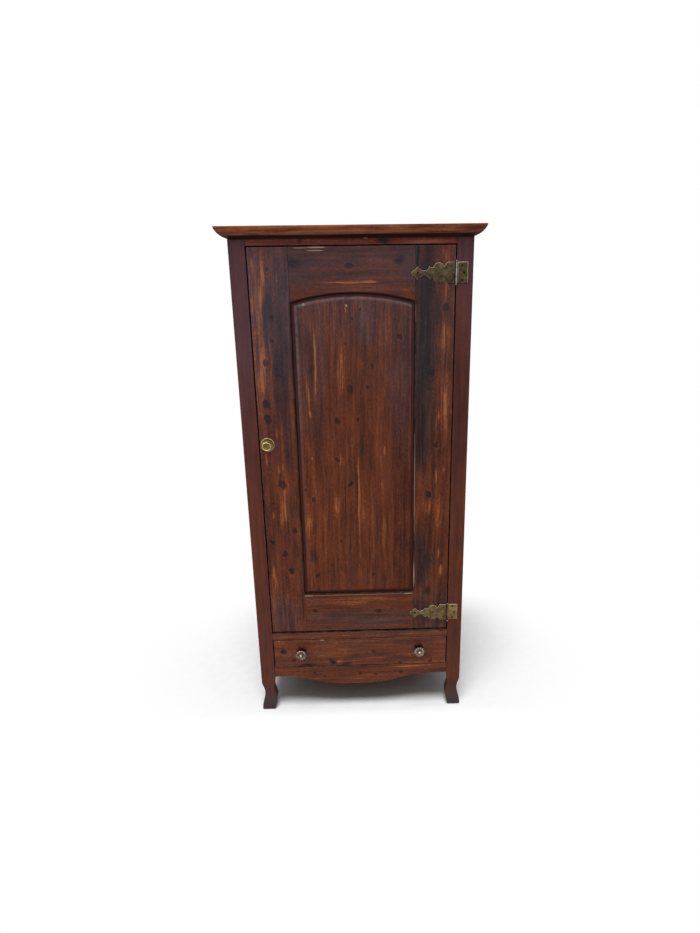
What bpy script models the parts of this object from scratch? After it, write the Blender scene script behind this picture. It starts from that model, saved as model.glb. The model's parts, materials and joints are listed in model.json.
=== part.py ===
"""Red cedar wardrobe: one hinged door with an arched panel over one drawer.

Metres, +Z up. The front looks along -Y, and +X is on the right of someone who stands before it.
The origin is on the floor, under the middle of the whole object.
"""
import math

import bmesh
import bpy
from mathutils import Vector

for old_object in list(bpy.data.objects):
    bpy.data.objects.remove(old_object)

# The case from outside
HEIGHT = 1.502
CASE_WIDTH = 0.655
CASE_DEPTH = 0.450
POST = 0.045

# The front from the floor up: apron, drawer, rail, door, rail, top
FOOT_HEIGHT = 0.125
APRON_HEIGHT = 0.0343
DRAWER_FRONT_HEIGHT = 0.098
MID_RAIL_HEIGHT = 0.0265
TOP_RAIL_HEIGHT = 0.028
TOP_PANEL = 0.018
DRAWER_GAP = 0.0025
DOOR_GAP = 0.0035

# Clearances
SEAT = 0.0003
TURNING_GAP = 0.0005

# Rails and their tenons
RAIL_THICKNESS = 0.0225
MID_RAIL_DEPTH = 0.040
TENON_LENGTH = 0.014
TENON_THICKNESS = 0.010
TENON_SHOULDER = 0.006

# Apron: flat ends, then a drop on a cosine to a flat middle, which lies a little to the left
APRON_DROP = 0.033
APRON_MIDDLE_X = -0.014
APRON_MIDDLE_FLAT = 0.084
APRON_CURVE_RUN = 0.196
APRON_STEPS = 10

# Feet of the front posts, from the sole up: share of the foot's height, and how far the outer or
# inner side draws in there as a share of the post. Outside it flares to the toe under a waist, and
# inside it swells under a higher waist and tucks in to the toe.
FOOT_OUTER_SHAPE = ((0.00, -0.045), (0.06, -0.045), (0.50, 0.165), (0.86, 0.0))
FOOT_INNER_SHAPE = ((0.00, 0.13), (0.28, 0.0), (0.66, 0.15), (0.97, 0.0))
FOOT_ROUND = 0.005
FOOT_STEPS = 16
ROUND_STEPS = 3

# Sides and back
SIDE_INSET = 0.004
SIDE_TOP_RAIL = 0.060
SIDE_BOTTOM_RAIL = 0.080
SIDE_PANEL = 0.012
GROOVE_DEPTH = 0.008
BACK_RAIL_HEIGHT = 0.060
BACK_BOARD = 0.010
BACK_BOARD_COUNT = 5
BOARD_JOINT = 0.0006
BOARD_TONGUE = 0.0035
FLOOR_PANEL = 0.012

# Crown moulding
CROWN_HEIGHT = 0.028
CROWN_OUT = 0.029
CROWN_LIP = 0.003
CROWN_BULGE = 0.005
CROWN_STEPS = 8

# Door
DOOR_THICKNESS = 0.022
STILE_WIDTH = 0.108
DOOR_BOTTOM_RAIL = 0.1328
DOOR_TOP_RAIL = 0.119
ARCH_RISE = 0.0245
ARCH_STEPS = 16
PANEL_TONGUE = 0.006
PANEL_BEVEL = 0.018
PANEL_STEP = 0.0012
PANEL_SET_BACK = 0.002
DOOR_TENON_SHOULDER = 0.020
DOOR_TENON_LENGTH = 0.030
DOOR_STOP_GAP = 0.0008
STOP_THICKNESS = 0.012
STOP_OVERLAP = 0.008

# Strap hinges
STRAP_LENGTH = 0.1205
LEAF_WIDTH = 0.032
HINGE_HEIGHT = 0.055
LEAF_THICKNESS = 0.0015
KNUCKLE_RADIUS = 0.0032
KNUCKLE_LENGTH = 0.023
KNUCKLE_CLEAR = 0.0004
KNUCKLE_STEPS = 12
PIN_TIP_RADIUS = 0.0026
HINGE_FROM_TOP = 0.0705
HINGE_FROM_BOTTOM = 0.058

# Strap outline from the knuckle to the tip, above the centre line: share of the strap's length,
# share of half its height, and the bulge of the stretch that leads there as a share of its length
STRAP_SHAPE = (
    (0.197, 1.00, 0.0),
    (0.274, 0.56, 0.0),
    (0.510, 0.51, 0.40),
    (0.602, 0.61, -0.12),
    (0.730, 0.22, -0.19),
    (0.876, 0.58, -0.15),
    (0.911, 0.22, 0.0),
    (1.000, 0.00, 0.22),
)
STRAP_ARC_STEPS = 6

# Screws of the backplate
SCREW_SHANK = 0.0013
SCREW_HEAD = 0.0028
SCREW_DOME = 0.0009
SCREW_DEPTH = 0.012
SCREW_POINT = 0.003
SCREW_SIDES = 10

# Door knob, backplate and the tongue that it turns
KNOB_INSET = 0.0225
KNOB_HEIGHT = 0.913
KNOB_RADIUS = 0.0135
KNOB_LENGTH = 0.024
KNOB_NECK = 0.0055
KNOB_RIM = 0.003
KNOB_HOLLOW = 0.0025
SPINDLE_RADIUS = 0.003
SPINDLE_END = 0.002
BACKPLATE_RADIUS = 0.0205
BACKPLATE_THICKNESS = 0.0018
BACKPLATE_SCREW_UP = 0.0155
TONGUE_LENGTH = 0.040
TONGUE_WIDTH = 0.013
TONGUE_THICKNESS = 0.003
TONGUE_SLOT_CLEAR = 0.0012
TONGUE_SLOT_DEPTH = 0.017
TURNED_SIDES = 24

# Drawer
DRAWER_FRONT = 0.020
DRAWER_SIDE = 0.012
DRAWER_SIDE_HEIGHT = 0.082
DRAWER_SIDE_GAP = 0.0015
DRAWER_BACK_GAP = 0.010
DRAWER_BOTTOM = 0.006
DRAWER_BOTTOM_UP = 0.008
DRAWER_DADO = 0.006
RUNNER_BEARING = 0.012
RUNNER_DEPTH = 0.020
RUNNER_GUIDE = 0.025

# Drawer knobs
DRAWER_KNOB_LENGTH = 0.036
DRAWER_KNOB_INSET = 0.089
DRAWER_KNOB_DOWN = 0.0365
DRAWER_KNOB_BASE = 0.015
DRAWER_KNOB_STEM = 0.0115
DRAWER_KNOB_PETAL = 0.0175
DRAWER_KNOB_DOME = 0.0075
PETAL_COUNT = 12
PETAL_DEPTH = 0.0014
PETAL_SIDES = 48
KNOB_SCREW_RADIUS = 0.002
KNOB_SCREW_GRIP = 0.016
KNOB_SCREW_HEAD = 0.004
KNOB_SCREW_HEAD_HEIGHT = 0.0025

# Hanging rod
ROD_RADIUS = 0.0125
ROD_DROP = 0.085
SOCKET_FLANGE = 0.024
SOCKET_CUP = 0.0175
SOCKET_LENGTH = 0.016
SOCKET_BASE = 0.004

# Edges of the wood
EDGE = 0.0012
HIDDEN_EDGE = 0.0008
EDGE_STEPS = 2
SHARP_ANGLE = math.radians(30)
SMOOTH_ANGLE = math.radians(40)

# Finishes: colour, roughness, metallic
DARK_CEDAR = ((0.115, 0.038, 0.026), 0.55, 0.0)
DOOR_CEDAR = ((0.095, 0.040, 0.030), 0.55, 0.0)
WARM_CEDAR = ((0.190, 0.060, 0.030), 0.50, 0.0)
INNER_CEDAR = ((0.330, 0.150, 0.080), 0.70, 0.0)
OLD_BRASS = ((0.300, 0.240, 0.130), 0.40, 1.0)
BRIGHT_STEEL = ((0.700, 0.700, 0.720), 0.25, 1.0)
PEWTER = ((0.450, 0.430, 0.390), 0.35, 1.0)

# Planes of the case that the pieces share
half_case = CASE_WIDTH / 2
half_open = half_case - POST
front_reach = max(CROWN_OUT, DRAWER_KNOB_LENGTH, KNOB_LENGTH)
front = (front_reach - CASE_DEPTH) / 2
back = front + CASE_DEPTH
middle_y = (front + back) / 2

apron_top = FOOT_HEIGHT + APRON_HEIGHT
drawer_low = apron_top + DRAWER_GAP
drawer_top = drawer_low + DRAWER_FRONT_HEIGHT
mid_rail_low = drawer_top + DRAWER_GAP
mid_rail_top = mid_rail_low + MID_RAIL_HEIGHT
door_low = mid_rail_top + DOOR_GAP
post_top = HEIGHT - TOP_PANEL - SEAT
top_rail_low = post_top - TOP_RAIL_HEIGHT
door_top = top_rail_low - DOOR_GAP
floor_low = mid_rail_top + SEAT

side_rail_out = half_case - SIDE_INSET
side_rail_in = side_rail_out - RAIL_THICKNESS
side_panel_out = (side_rail_out + side_rail_in + SIDE_PANEL) / 2
side_panel_in = side_panel_out - SIDE_PANEL
back_rail_back = back - BACK_BOARD - SEAT
back_rail_front = back_rail_back - RAIL_THICKNESS

door_edge = half_open - DOOR_GAP
door_back = front + DOOR_THICKNESS
panel_half = door_edge - STILE_WIDTH
panel_low = door_low + DOOR_BOTTOM_RAIL
arch_apex = door_top - DOOR_TOP_RAIL
arch_spring = arch_apex - ARCH_RISE
arch_radius = (panel_half ** 2 + ARCH_RISE ** 2) / (2 * ARCH_RISE)
arch_centre = arch_apex - arch_radius

axis_x = half_open - DOOR_GAP / 2
axis_y = front - SEAT - KNUCKLE_RADIUS
leaf_back = front - SEAT
leaf_front = leaf_back - LEAF_THICKNESS
hinge_heights = {"top": door_top - HINGE_FROM_TOP, "bottom": door_low + HINGE_FROM_BOTTOM}
knob_x = KNOB_INSET - door_edge
tongue_front = door_back + SEAT
drawer_knob_z = drawer_top - DRAWER_KNOB_DOWN
drawer_back = back_rail_front - DRAWER_BACK_GAP
drawer_half = half_open - DRAWER_SIDE_GAP
rod_z = post_top - ROD_DROP

AXES = {"X": Vector((1, 0, 0)), "Y": Vector((0, 1, 0)), "Z": Vector((0, 0, 1))}
SIDES = {"left": -1, "right": 1}


def add_carrier(name, point, parent=None):
    """An empty on a joint's axis, which carries the pieces that move with it."""
    carrier = bpy.data.objects.new(name, None)
    carrier["point"] = point
    carrier.parent = parent
    carrier.location = Vector(point) - Vector(parent["point"]) if parent else Vector(point)
    bpy.context.scene.collection.objects.link(carrier)
    return carrier


def extent(bm):
    """Lowest and highest corner of a mesh."""
    points = [vert.co for vert in bm.verts]
    low = Vector([min(point[i] for point in points) for i in range(3)])
    high = Vector([max(point[i] for point in points) for i in range(3)])
    return low, high


def link_mesh(name, bm):
    """A mesh made in world places becomes an object with its origin in its middle."""
    low, high = extent(bm)
    middle = (low + high) / 2
    bmesh.ops.translate(bm, vec=-middle, verts=bm.verts)
    mesh = bpy.data.meshes.new(name)
    bm.to_mesh(mesh)
    bm.free()
    piece = bpy.data.objects.new(name, mesh)
    piece.location = middle
    bpy.context.scene.collection.objects.link(piece)
    return piece


def add_piece(name, bm, finish, carrier=None):
    """One named sub-part with its own material."""
    piece = link_mesh(name, bm)
    piece.data.shade_smooth()
    piece.data.set_sharp_from_angle(angle=SMOOTH_ANGLE)
    colour, roughness, metallic = finish
    material = bpy.data.materials.new(name + "_finish")
    material.use_nodes = True
    shader = material.node_tree.nodes["Principled BSDF"]
    shader.inputs["Base Color"].default_value = (*colour, 1.0)
    shader.inputs["Roughness"].default_value = roughness
    shader.inputs["Metallic"].default_value = metallic
    piece.data.materials.append(material)
    if carrier:
        piece.parent = carrier
        piece.location -= Vector(carrier["point"])
    return piece


def add_cutter(name, bm):
    """A hidden helper mesh for a Boolean."""
    cutter = link_mesh(name, bm)
    cutter.hide_render = True
    cutter.display_type = "WIRE"
    return cutter


def combine(host, helper, operation="DIFFERENCE"):
    """Cut a helper mesh out of a piece, or join it on."""
    modifier = host.modifiers.new(helper.name, "BOOLEAN")
    modifier.operation = operation
    modifier.solver = "EXACT"
    modifier.object = helper


def soften(bm, width, steps):
    """Round the sharp edges of a mesh."""
    sharp = [edge for edge in bm.edges if edge.calc_face_angle(0.0) > SHARP_ANGLE]
    bmesh.ops.bevel(bm, geom=sharp, offset=width, segments=steps, profile=0.5, affect="EDGES",
                    clamp_overlap=True)


def box(low, high, edge=EDGE, steps=EDGE_STEPS):
    """A box between two corners, with its edges rounded."""
    bm = bmesh.new()
    bmesh.ops.create_cube(bm, size=1.0)
    size = Vector(high) - Vector(low)
    bmesh.ops.scale(bm, vec=size, verts=bm.verts)
    bmesh.ops.translate(bm, vec=Vector(low) + size / 2, verts=bm.verts)
    if edge:
        soften(bm, edge, steps)
    return bm


def hidden_box(low, high):
    """A box for a place that doesn't show: its edges are only broken."""
    return box(low, high, HIDDEN_EDGE, 1)


def loft(rings, bm=None):
    """Skin a row of rings of points and close both ends. A ring of one point is a tip."""
    bm = bm or bmesh.new()
    loops = [[bm.verts.new(point) for point in ring] for ring in rings]
    faces = []
    for lower, upper in zip(loops, loops[1:]):
        count = max(len(lower), len(upper))
        for i in range(count):
            j = (i + 1) % count
            corners = [lower[i % len(lower)], lower[j % len(lower)]]
            corners += [upper[j % len(upper)], upper[i % len(upper)]]
            faces.append(bm.faces.new(list(dict.fromkeys(corners))))
    for loop in (loops[0], loops[-1]):
        if len(loop) > 1:
            faces.append(bm.faces.new(loop))
    bmesh.ops.recalc_face_normals(bm, faces=faces)
    return bm


def prism(outline, axis, start, end):
    """An outline drawn on the two other axes, in their order, run along an axis from start to end."""
    index = "XYZ".index(axis)
    return loft([[(*point[:index], level, *point[index:]) for point in outline] for level in (start, end)])


def turned(profile, centre, along, sides, ripple=None, bm=None):
    """A round piece: profile points are radius and distance along the axis. A ripple, if any,
    gives the wave on the radius of each profile point."""
    along = Vector(along)
    across = AXES["Z"] if abs(along.x) > 0 else AXES["X"]
    third = along.cross(across)
    rings = []
    for i, (radius, distance) in enumerate(profile):
        base = Vector(centre) + along * distance
        if radius == 0:
            rings.append([base])
            continue
        ring = []
        for k in range(sides):
            angle = 2 * math.pi * k / sides
            reach = radius
            if ripple:
                reach += ripple[i] * math.cos(PETAL_COUNT * angle)
            ring.append(base + reach * (math.cos(angle) * across + math.sin(angle) * third))
        rings.append(ring)
    return loft(rings, bm)


def arc(start, end, bulge, steps):
    """Points after start up to end, on an arc that stands out by bulge to the left of the way there."""
    start, end = Vector(start), Vector(end)
    chord = end - start
    if not bulge:
        return [tuple(end)]
    half = chord.length / 2
    radius = (half ** 2 + bulge ** 2) / (2 * abs(bulge))
    side = Vector((-chord.y, chord.x)).normalized() * math.copysign(1, bulge)
    centre = (start + end) / 2 + side * (abs(bulge) - radius)
    half_turn = math.asin(min(1.0, half / radius))
    if abs(bulge) > half:
        half_turn = math.pi - half_turn
    forward = chord.normalized()
    points = []
    for i in range(1, steps + 1):
        angle = half_turn * (2 * i / steps - 1)
        points.append(tuple(centre + radius * (side * math.cos(angle) + forward * math.sin(angle))))
    return points


def add_tenon(bm, direction, low, high):
    """Grow a tenon that fills the box low to high out of the largest face that looks that way."""
    direction = Vector(direction)
    axis = max(range(3), key=lambda i: abs(direction[i]))
    ends = [face for face in bm.faces if face.normal.dot(direction) > math.cos(SHARP_ANGLE)]
    face = max(ends, key=lambda end: end.calc_area())
    bmesh.ops.inset_individual(bm, faces=[face], thickness=HIDDEN_EDGE)
    middle = face.calc_center_median()
    for vert in face.verts:
        for i in range(3):
            if i != axis:
                vert.co[i] = low[i] if vert.co[i] < middle[i] else high[i]
    tip = bmesh.ops.extrude_discrete_faces(bm, faces=[face])["faces"][0]
    for vert in tip.verts:
        vert.co[axis] = high[axis] if direction[axis] > 0 else low[axis]


def let_in(host, low, high):
    """Cut room in a host for a box that is let into it, with a seat's clearance all round."""
    grow = Vector((SEAT, SEAT, SEAT))
    cutter = add_cutter(host.name + "_cut", box(Vector(low) - grow, Vector(high) + grow, edge=0))
    combine(host, cutter)


def bore(hosts, name, points, radius, start, end):
    """Drill round holes along Y through the hosts, at the given X and Z."""
    bm = bmesh.new()
    for x, z in points:
        turned(((radius, start), (radius, end)), (x, 0, z), AXES["Y"], SCREW_SIDES, bm=bm)
    cutter = add_cutter(name, bm)
    for host in hosts:
        combine(host, cutter)


def front_posts():
    """Posts with a shaped foot: rings of a square section with cut corners, from the floor up."""

    def drawn_in(shape, z):
        """How far one side draws in at a height, eased between the points of its shape."""
        share = z / FOOT_HEIGHT
        for (low, start), (high, end) in zip(shape, shape[1:]):
            if share <= high:
                ease = (1 - math.cos(math.pi * (share - low) / (high - low))) / 2
                return POST * (start + (end - start) * ease)
        return 0.0

    def section(side, z, sole):
        """Ring of a post at a height, drawn in by its shape and by the rounding of its sole."""
        outer = drawn_in(FOOT_OUTER_SHAPE, z) + sole
        inner = drawn_in(FOOT_INNER_SHAPE, z) + sole
        low_x, high_x = sorted((side * (half_case - outer), side * (half_open + inner)))
        low_y, high_y = front + outer, front + POST - inner
        return [
            (low_x + EDGE, low_y, z), (high_x - EDGE, low_y, z),
            (high_x, low_y + EDGE, z), (high_x, high_y - EDGE, z),
            (high_x - EDGE, high_y, z), (low_x + EDGE, high_y, z),
            (low_x, high_y - EDGE, z), (low_x, low_y + EDGE, z),
        ]

    posts = {}
    for place, side in SIDES.items():
        rings = []
        for i in range(ROUND_STEPS + 1):
            angle = math.pi / 2 * i / ROUND_STEPS
            rise, sole = 1 - math.cos(angle), 1 - math.sin(angle)
            rings.append(section(side, FOOT_ROUND * rise, FOOT_ROUND * sole))
        for i in range(1, FOOT_STEPS + 1):
            rings.append(section(side, FOOT_ROUND + (FOOT_HEIGHT - FOOT_ROUND) * i / FOOT_STEPS, 0.0))
        rings.append(section(side, post_top, 0.0))
        posts[place] = add_piece("post_front_" + place, loft(rings), DARK_CEDAR)
    return posts


def back_posts():
    """Plain square posts at the back."""
    posts = {}
    for place, side in SIDES.items():
        low_x, high_x = sorted((side * half_case, side * half_open))
        body = box((low_x, back - POST, 0), (high_x, back, post_top))
        posts[place] = add_piece("post_back_" + place, body, DARK_CEDAR)
    return posts


def cross_rail(name, bm, posts, tenon_y, tenon_z, finish):
    """Finish a rail between two posts with a tenon at each end, and mortise the posts for it."""
    for place, side in SIDES.items():
        near, far = sorted((side * (half_open - SEAT), side * (half_open + TENON_LENGTH)))
        low, high = (near, tenon_y[0], tenon_z[0]), (far, tenon_y[1], tenon_z[1])
        add_tenon(bm, (side, 0, 0), low, high)
        let_in(posts[place], low, high)
    return add_piece(name, bm, finish)


def tenon_band(low, high):
    """The middle of a thickness, where a tenon lies."""
    middle = (low + high) / 2
    return middle - TENON_THICKNESS / 2, middle + TENON_THICKNESS / 2


def front_rails(posts):
    """Rail over the door, rail under it, and the apron under the drawer."""
    reach = half_open - SEAT
    depth = tenon_band(front, front + RAIL_THICKNESS)
    body = box((-reach, front, top_rail_low), (reach, front + RAIL_THICKNESS, post_top))
    cross_rail("top_rail", body, posts, depth, (top_rail_low + TENON_SHOULDER, post_top - TENON_SHOULDER),
               DARK_CEDAR)
    body = box((-reach, front, mid_rail_low), (reach, front + MID_RAIL_DEPTH, mid_rail_top))
    cross_rail("mid_rail", body, posts, depth, (mid_rail_low + TENON_SHOULDER, mid_rail_top - TENON_SHOULDER),
               WARM_CEDAR)
    body = prism(apron_outline(reach), "Y", front, front + RAIL_THICKNESS)
    soften(body, EDGE, EDGE_STEPS)
    cross_rail("apron", body, posts, depth, (FOOT_HEIGHT + TENON_SHOULDER, apron_top - TENON_SHOULDER),
               WARM_CEDAR)


def apron_outline(reach):
    """Straight top and serpentine bottom, in X and Z."""
    curve = []
    for i in range(APRON_STEPS + 1):
        share = i / APRON_STEPS
        drop = APRON_DROP * (1 + math.cos(math.pi * share)) / 2
        curve.append((APRON_MIDDLE_FLAT / 2 + APRON_CURVE_RUN * share, FOOT_HEIGHT - drop))
    left = [(APRON_MIDDLE_X - out, z) for out, z in reversed(curve)]
    right = [(APRON_MIDDLE_X + out, z) for out, z in curve]
    corners = [(reach, FOOT_HEIGHT), (reach, apron_top), (-reach, apron_top), (-reach, FOOT_HEIGHT)]
    return corners + left + right


def sides(front_pair, back_pair):
    """On each side two rails between the posts, and a flat panel in their grooves."""
    start, end = front + POST + SEAT, back - POST - SEAT
    top_low = post_top - SIDE_TOP_RAIL
    bottom_top = FOOT_HEIGHT + SIDE_BOTTOM_RAIL
    levels = {"top": (top_low, post_top), "bottom": (FOOT_HEIGHT, bottom_top)}
    for place, side in SIDES.items():
        low_x, high_x = sorted((side * side_rail_in, side * side_rail_out))
        band = tenon_band(low_x, high_x)
        hosts = [front_pair[place], back_pair[place]]
        for level, (low_z, high_z) in levels.items():
            body = box((low_x, start, low_z), (high_x, end, high_z))
            tenon_z = (low_z + DOOR_TENON_SHOULDER, high_z - DOOR_TENON_SHOULDER)
            for direction, host, face in ((-1, hosts[0], start), (1, hosts[1], end)):
                near, far = sorted((face, face + direction * (SEAT + TENON_LENGTH)))
                low, high = (band[0], near, tenon_z[0]), (band[1], far, tenon_z[1])
                add_tenon(body, (0, direction, 0), low, high)
                let_in(host, low, high)
            hosts.append(add_piece("side_rail_" + level + "_" + place, body, DARK_CEDAR))
        panel_x = sorted((side * side_panel_in, side * side_panel_out))
        low = (panel_x[0], start - GROOVE_DEPTH, bottom_top - GROOVE_DEPTH)
        high = (panel_x[1], end + GROOVE_DEPTH, top_low + GROOVE_DEPTH)
        for host in hosts:
            let_in(host, low, high)
        add_piece("side_panel_" + place, hidden_box(low, high), DOOR_CEDAR)


def back_wall(posts):
    """Three rails between the back posts, and matched boards fixed to the back of them."""
    reach = half_open - SEAT
    depth = tenon_band(back_rail_front, back_rail_back)
    tops = {"top": post_top, "middle": mid_rail_top, "bottom": FOOT_HEIGHT + BACK_RAIL_HEIGHT}
    for level, top in tops.items():
        low_z = top - BACK_RAIL_HEIGHT
        body = hidden_box((-reach, back_rail_front, low_z), (reach, back_rail_back, top))
        cross_rail("back_rail_" + level, body, posts, depth, (low_z + TENON_SHOULDER, top - TENON_SHOULDER),
                   INNER_CEDAR)
    pitch = 2 * reach / BACK_BOARD_COUNT
    board_front = back - BACK_BOARD
    tongue_low = board_front + (BACK_BOARD - BOARD_TONGUE) / 2
    tongue_high = tongue_low + BOARD_TONGUE
    for i in range(BACK_BOARD_COUNT):
        left = -reach + i * pitch
        right = left + pitch
        outline = [(left, board_front)]
        if i < BACK_BOARD_COUNT - 1:
            right -= BOARD_JOINT
            tip = right + BOARD_TONGUE
            outline += [(right, board_front), (right, tongue_low), (tip, tongue_low), (tip, tongue_high),
                        (right, tongue_high), (right, back)]
        else:
            outline += [(right, board_front), (right, back)]
        outline.append((left, back))
        if i > 0:
            deep = left + BOARD_TONGUE
            outline += [(left, tongue_high + SEAT), (deep, tongue_high + SEAT), (deep, tongue_low - SEAT),
                        (left, tongue_low - SEAT)]
        board = prism(outline, "Z", FOOT_HEIGHT, post_top)
        add_piece("back_board_" + str(i + 1), board, INNER_CEDAR)


def top_and_crown():
    """Flat top, and a moulding round its front and sides with mitred corners."""
    body = box((-half_case, front, post_top + SEAT), (half_case, back, HEIGHT))
    add_piece("top_panel", body, WARM_CEDAR)
    low_z, lip_z = HEIGHT - CROWN_HEIGHT, HEIGHT - CROWN_LIP
    profile = [(SEAT, HEIGHT), (SEAT, low_z)]
    profile += arc((SEAT, low_z), (CROWN_OUT, lip_z), -CROWN_BULGE, CROWN_STEPS)
    profile.append((CROWN_OUT, HEIGHT))
    mitre = half_case - SEAT
    rings = [[(side * (mitre + out), front - out, z) for out, z in profile] for side in SIDES.values()]
    add_piece("crown_front", loft(rings), WARM_CEDAR)
    for place, side in SIDES.items():
        cuts = ([front + SEAT - out for out, z in profile], [back] * len(profile))
        rings = []
        for cut in cuts:
            rings.append([(side * (half_case + out), y, z) for y, (out, z) in zip(cut, profile)])
        add_piece("crown_" + place, loft(rings), WARM_CEDAR)


def inside():
    """Wardrobe floor, door stop, hanging rod and its sockets."""
    narrow, wide = half_open - SEAT, side_panel_in - SEAT
    edges = [(narrow, door_back + DOOR_STOP_GAP), (narrow, front + POST + SEAT), (wide, front + POST + SEAT),
             (wide, back - POST - SEAT), (narrow, back - POST - SEAT), (narrow, back - BACK_BOARD - SEAT)]
    outline = edges + [(-x, y) for x, y in reversed(edges)]
    add_piece("floor_panel", prism(outline, "Z", floor_low, floor_low + FLOOR_PANEL), INNER_CEDAR)
    stop_front = front + RAIL_THICKNESS + SEAT
    body = hidden_box((-narrow, stop_front, top_rail_low - STOP_OVERLAP),
                      (narrow, stop_front + STOP_THICKNESS, post_top))
    add_piece("door_stop", body, INNER_CEDAR)
    hole = ROD_RADIUS + SEAT
    cup = [(0, 0), (SOCKET_FLANGE, 0), (SOCKET_FLANGE, SOCKET_BASE / 2), (SOCKET_CUP, SOCKET_BASE),
           (SOCKET_CUP, SOCKET_LENGTH), (hole, SOCKET_LENGTH), (hole, SOCKET_BASE), (0, SOCKET_BASE)]
    for place, side in SIDES.items():
        body = turned(cup, (side * (side_panel_in - SEAT), middle_y, rod_z), (-side, 0, 0), TURNED_SIDES)
        add_piece("rod_socket_" + place, body, OLD_BRASS)
    half_rod = side_panel_in - SOCKET_BASE - 2 * SEAT
    rod = [(ROD_RADIUS, -half_rod), (ROD_RADIUS, half_rod)]
    add_piece("hanging_rod", turned(rod, (0, middle_y, rod_z), AXES["X"], TURNED_SIDES), INNER_CEDAR)


def arched_ring(grow, y):
    """The door's panel opening at a depth, grown by a width on every side."""
    half, radius = panel_half + grow, arch_radius + grow
    spring = math.asin(half / radius)
    points = [(-half, y, panel_low - grow), (half, y, panel_low - grow)]
    for i in range(ARCH_STEPS + 1):
        angle = spring * (1 - 2 * i / ARCH_STEPS)
        points.append((radius * math.sin(angle), y, arch_centre + radius * math.cos(angle)))
    return points


def door_frame(carrier):
    """Two stiles and two rails, tenoned together and grooved for the raised panel."""
    stiles = {}
    for place, side in SIDES.items():
        low_x, high_x = sorted((side * panel_half, side * door_edge))
        body = box((low_x, front, door_low), (high_x, door_back, door_top))
        stiles[place] = add_piece("door_stile_" + place, body, DOOR_CEDAR, carrier)
    reach = panel_half - SEAT
    arch = [(x, z) for x, y, z in arched_ring(0.0, front)[2:]]
    arch[0], arch[-1] = (reach, arch_spring), (-reach, arch_spring)
    top_body = prism([(-reach, door_top), (reach, door_top)] + arch, "Y", front, door_back)
    soften(top_body, EDGE, EDGE_STEPS)
    bottom_body = box((-reach, front, door_low), (reach, door_back, panel_low))
    depth = tenon_band(front, door_back)
    rails = []
    for name, body, low_z, high_z in (("door_rail_top", top_body, arch_spring, door_top),
                                      ("door_rail_bottom", bottom_body, door_low, panel_low)):
        for place, side in SIDES.items():
            near, far = sorted((side * reach, side * (panel_half + DOOR_TENON_LENGTH)))
            low = (near, depth[0], low_z + DOOR_TENON_SHOULDER)
            high = (far, depth[1], high_z - DOOR_TENON_SHOULDER)
            add_tenon(body, (side, 0, 0), low, high)
            let_in(stiles[place], low, high)
        rails.append(add_piece(name, body, DOOR_CEDAR, carrier))
    tongue_low = (front + door_back - PANEL_TONGUE) / 2
    tongue_high = tongue_low + PANEL_TONGUE
    groove = [arched_ring(GROOVE_DEPTH, y) for y in (tongue_low - SEAT, tongue_high + SEAT)]
    cutter = add_cutter("panel_groove", loft(groove))
    for host in (*stiles.values(), *rails):
        combine(host, cutter)
    tongue, field = GROOVE_DEPTH - SEAT, -PANEL_BEVEL
    face = front + PANEL_SET_BACK
    rings = [arched_ring(tongue, tongue_high), arched_ring(tongue, tongue_low),
             arched_ring(-SEAT, tongue_low), arched_ring(field, face + PANEL_STEP),
             arched_ring(field, face)]
    add_piece("door_panel", loft(rings), DOOR_CEDAR, carrier)
    return stiles


def strap_outline(z):
    """Outline of the ornamental strap in X and Z, pointing away from the knuckle along -X."""
    half = HINGE_HEIGHT / 2
    upper = [(KNUCKLE_RADIUS + KNUCKLE_CLEAR, half)]
    for share_out, share_up, bulge in STRAP_SHAPE:
        target = (share_out * STRAP_LENGTH, share_up * half)
        length = (Vector(target) - Vector(upper[-1])).length
        upper += arc(upper[-1], target, bulge * length, STRAP_ARC_STEPS)
    lower = [(out, -up) for out, up in reversed(upper[:-1])]
    return [(axis_x - out, z + up) for out, up in upper + lower]


def knuckle(side, low, high):
    """Sheet rolled round the pin: a straight arm on one side and three quarters of a turn."""
    arm = side * (KNUCKLE_RADIUS + 2 * KNUCKLE_CLEAR)
    inner = KNUCKLE_RADIUS - LEAF_THICKNESS
    angles = [math.pi / 2 * (1 - 3 * i / KNUCKLE_STEPS) for i in range(KNUCKLE_STEPS + 1)]
    outline = [(arm, KNUCKLE_RADIUS)]
    outline += [(-side * KNUCKLE_RADIUS * math.cos(a), KNUCKLE_RADIUS * math.sin(a)) for a in angles]
    outline += [(-side * inner * math.cos(a), inner * math.sin(a)) for a in reversed(angles)]
    outline.append((arm, inner))
    return prism([(axis_x + x, axis_y + y) for x, y in outline], "Z", low, high)


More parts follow.
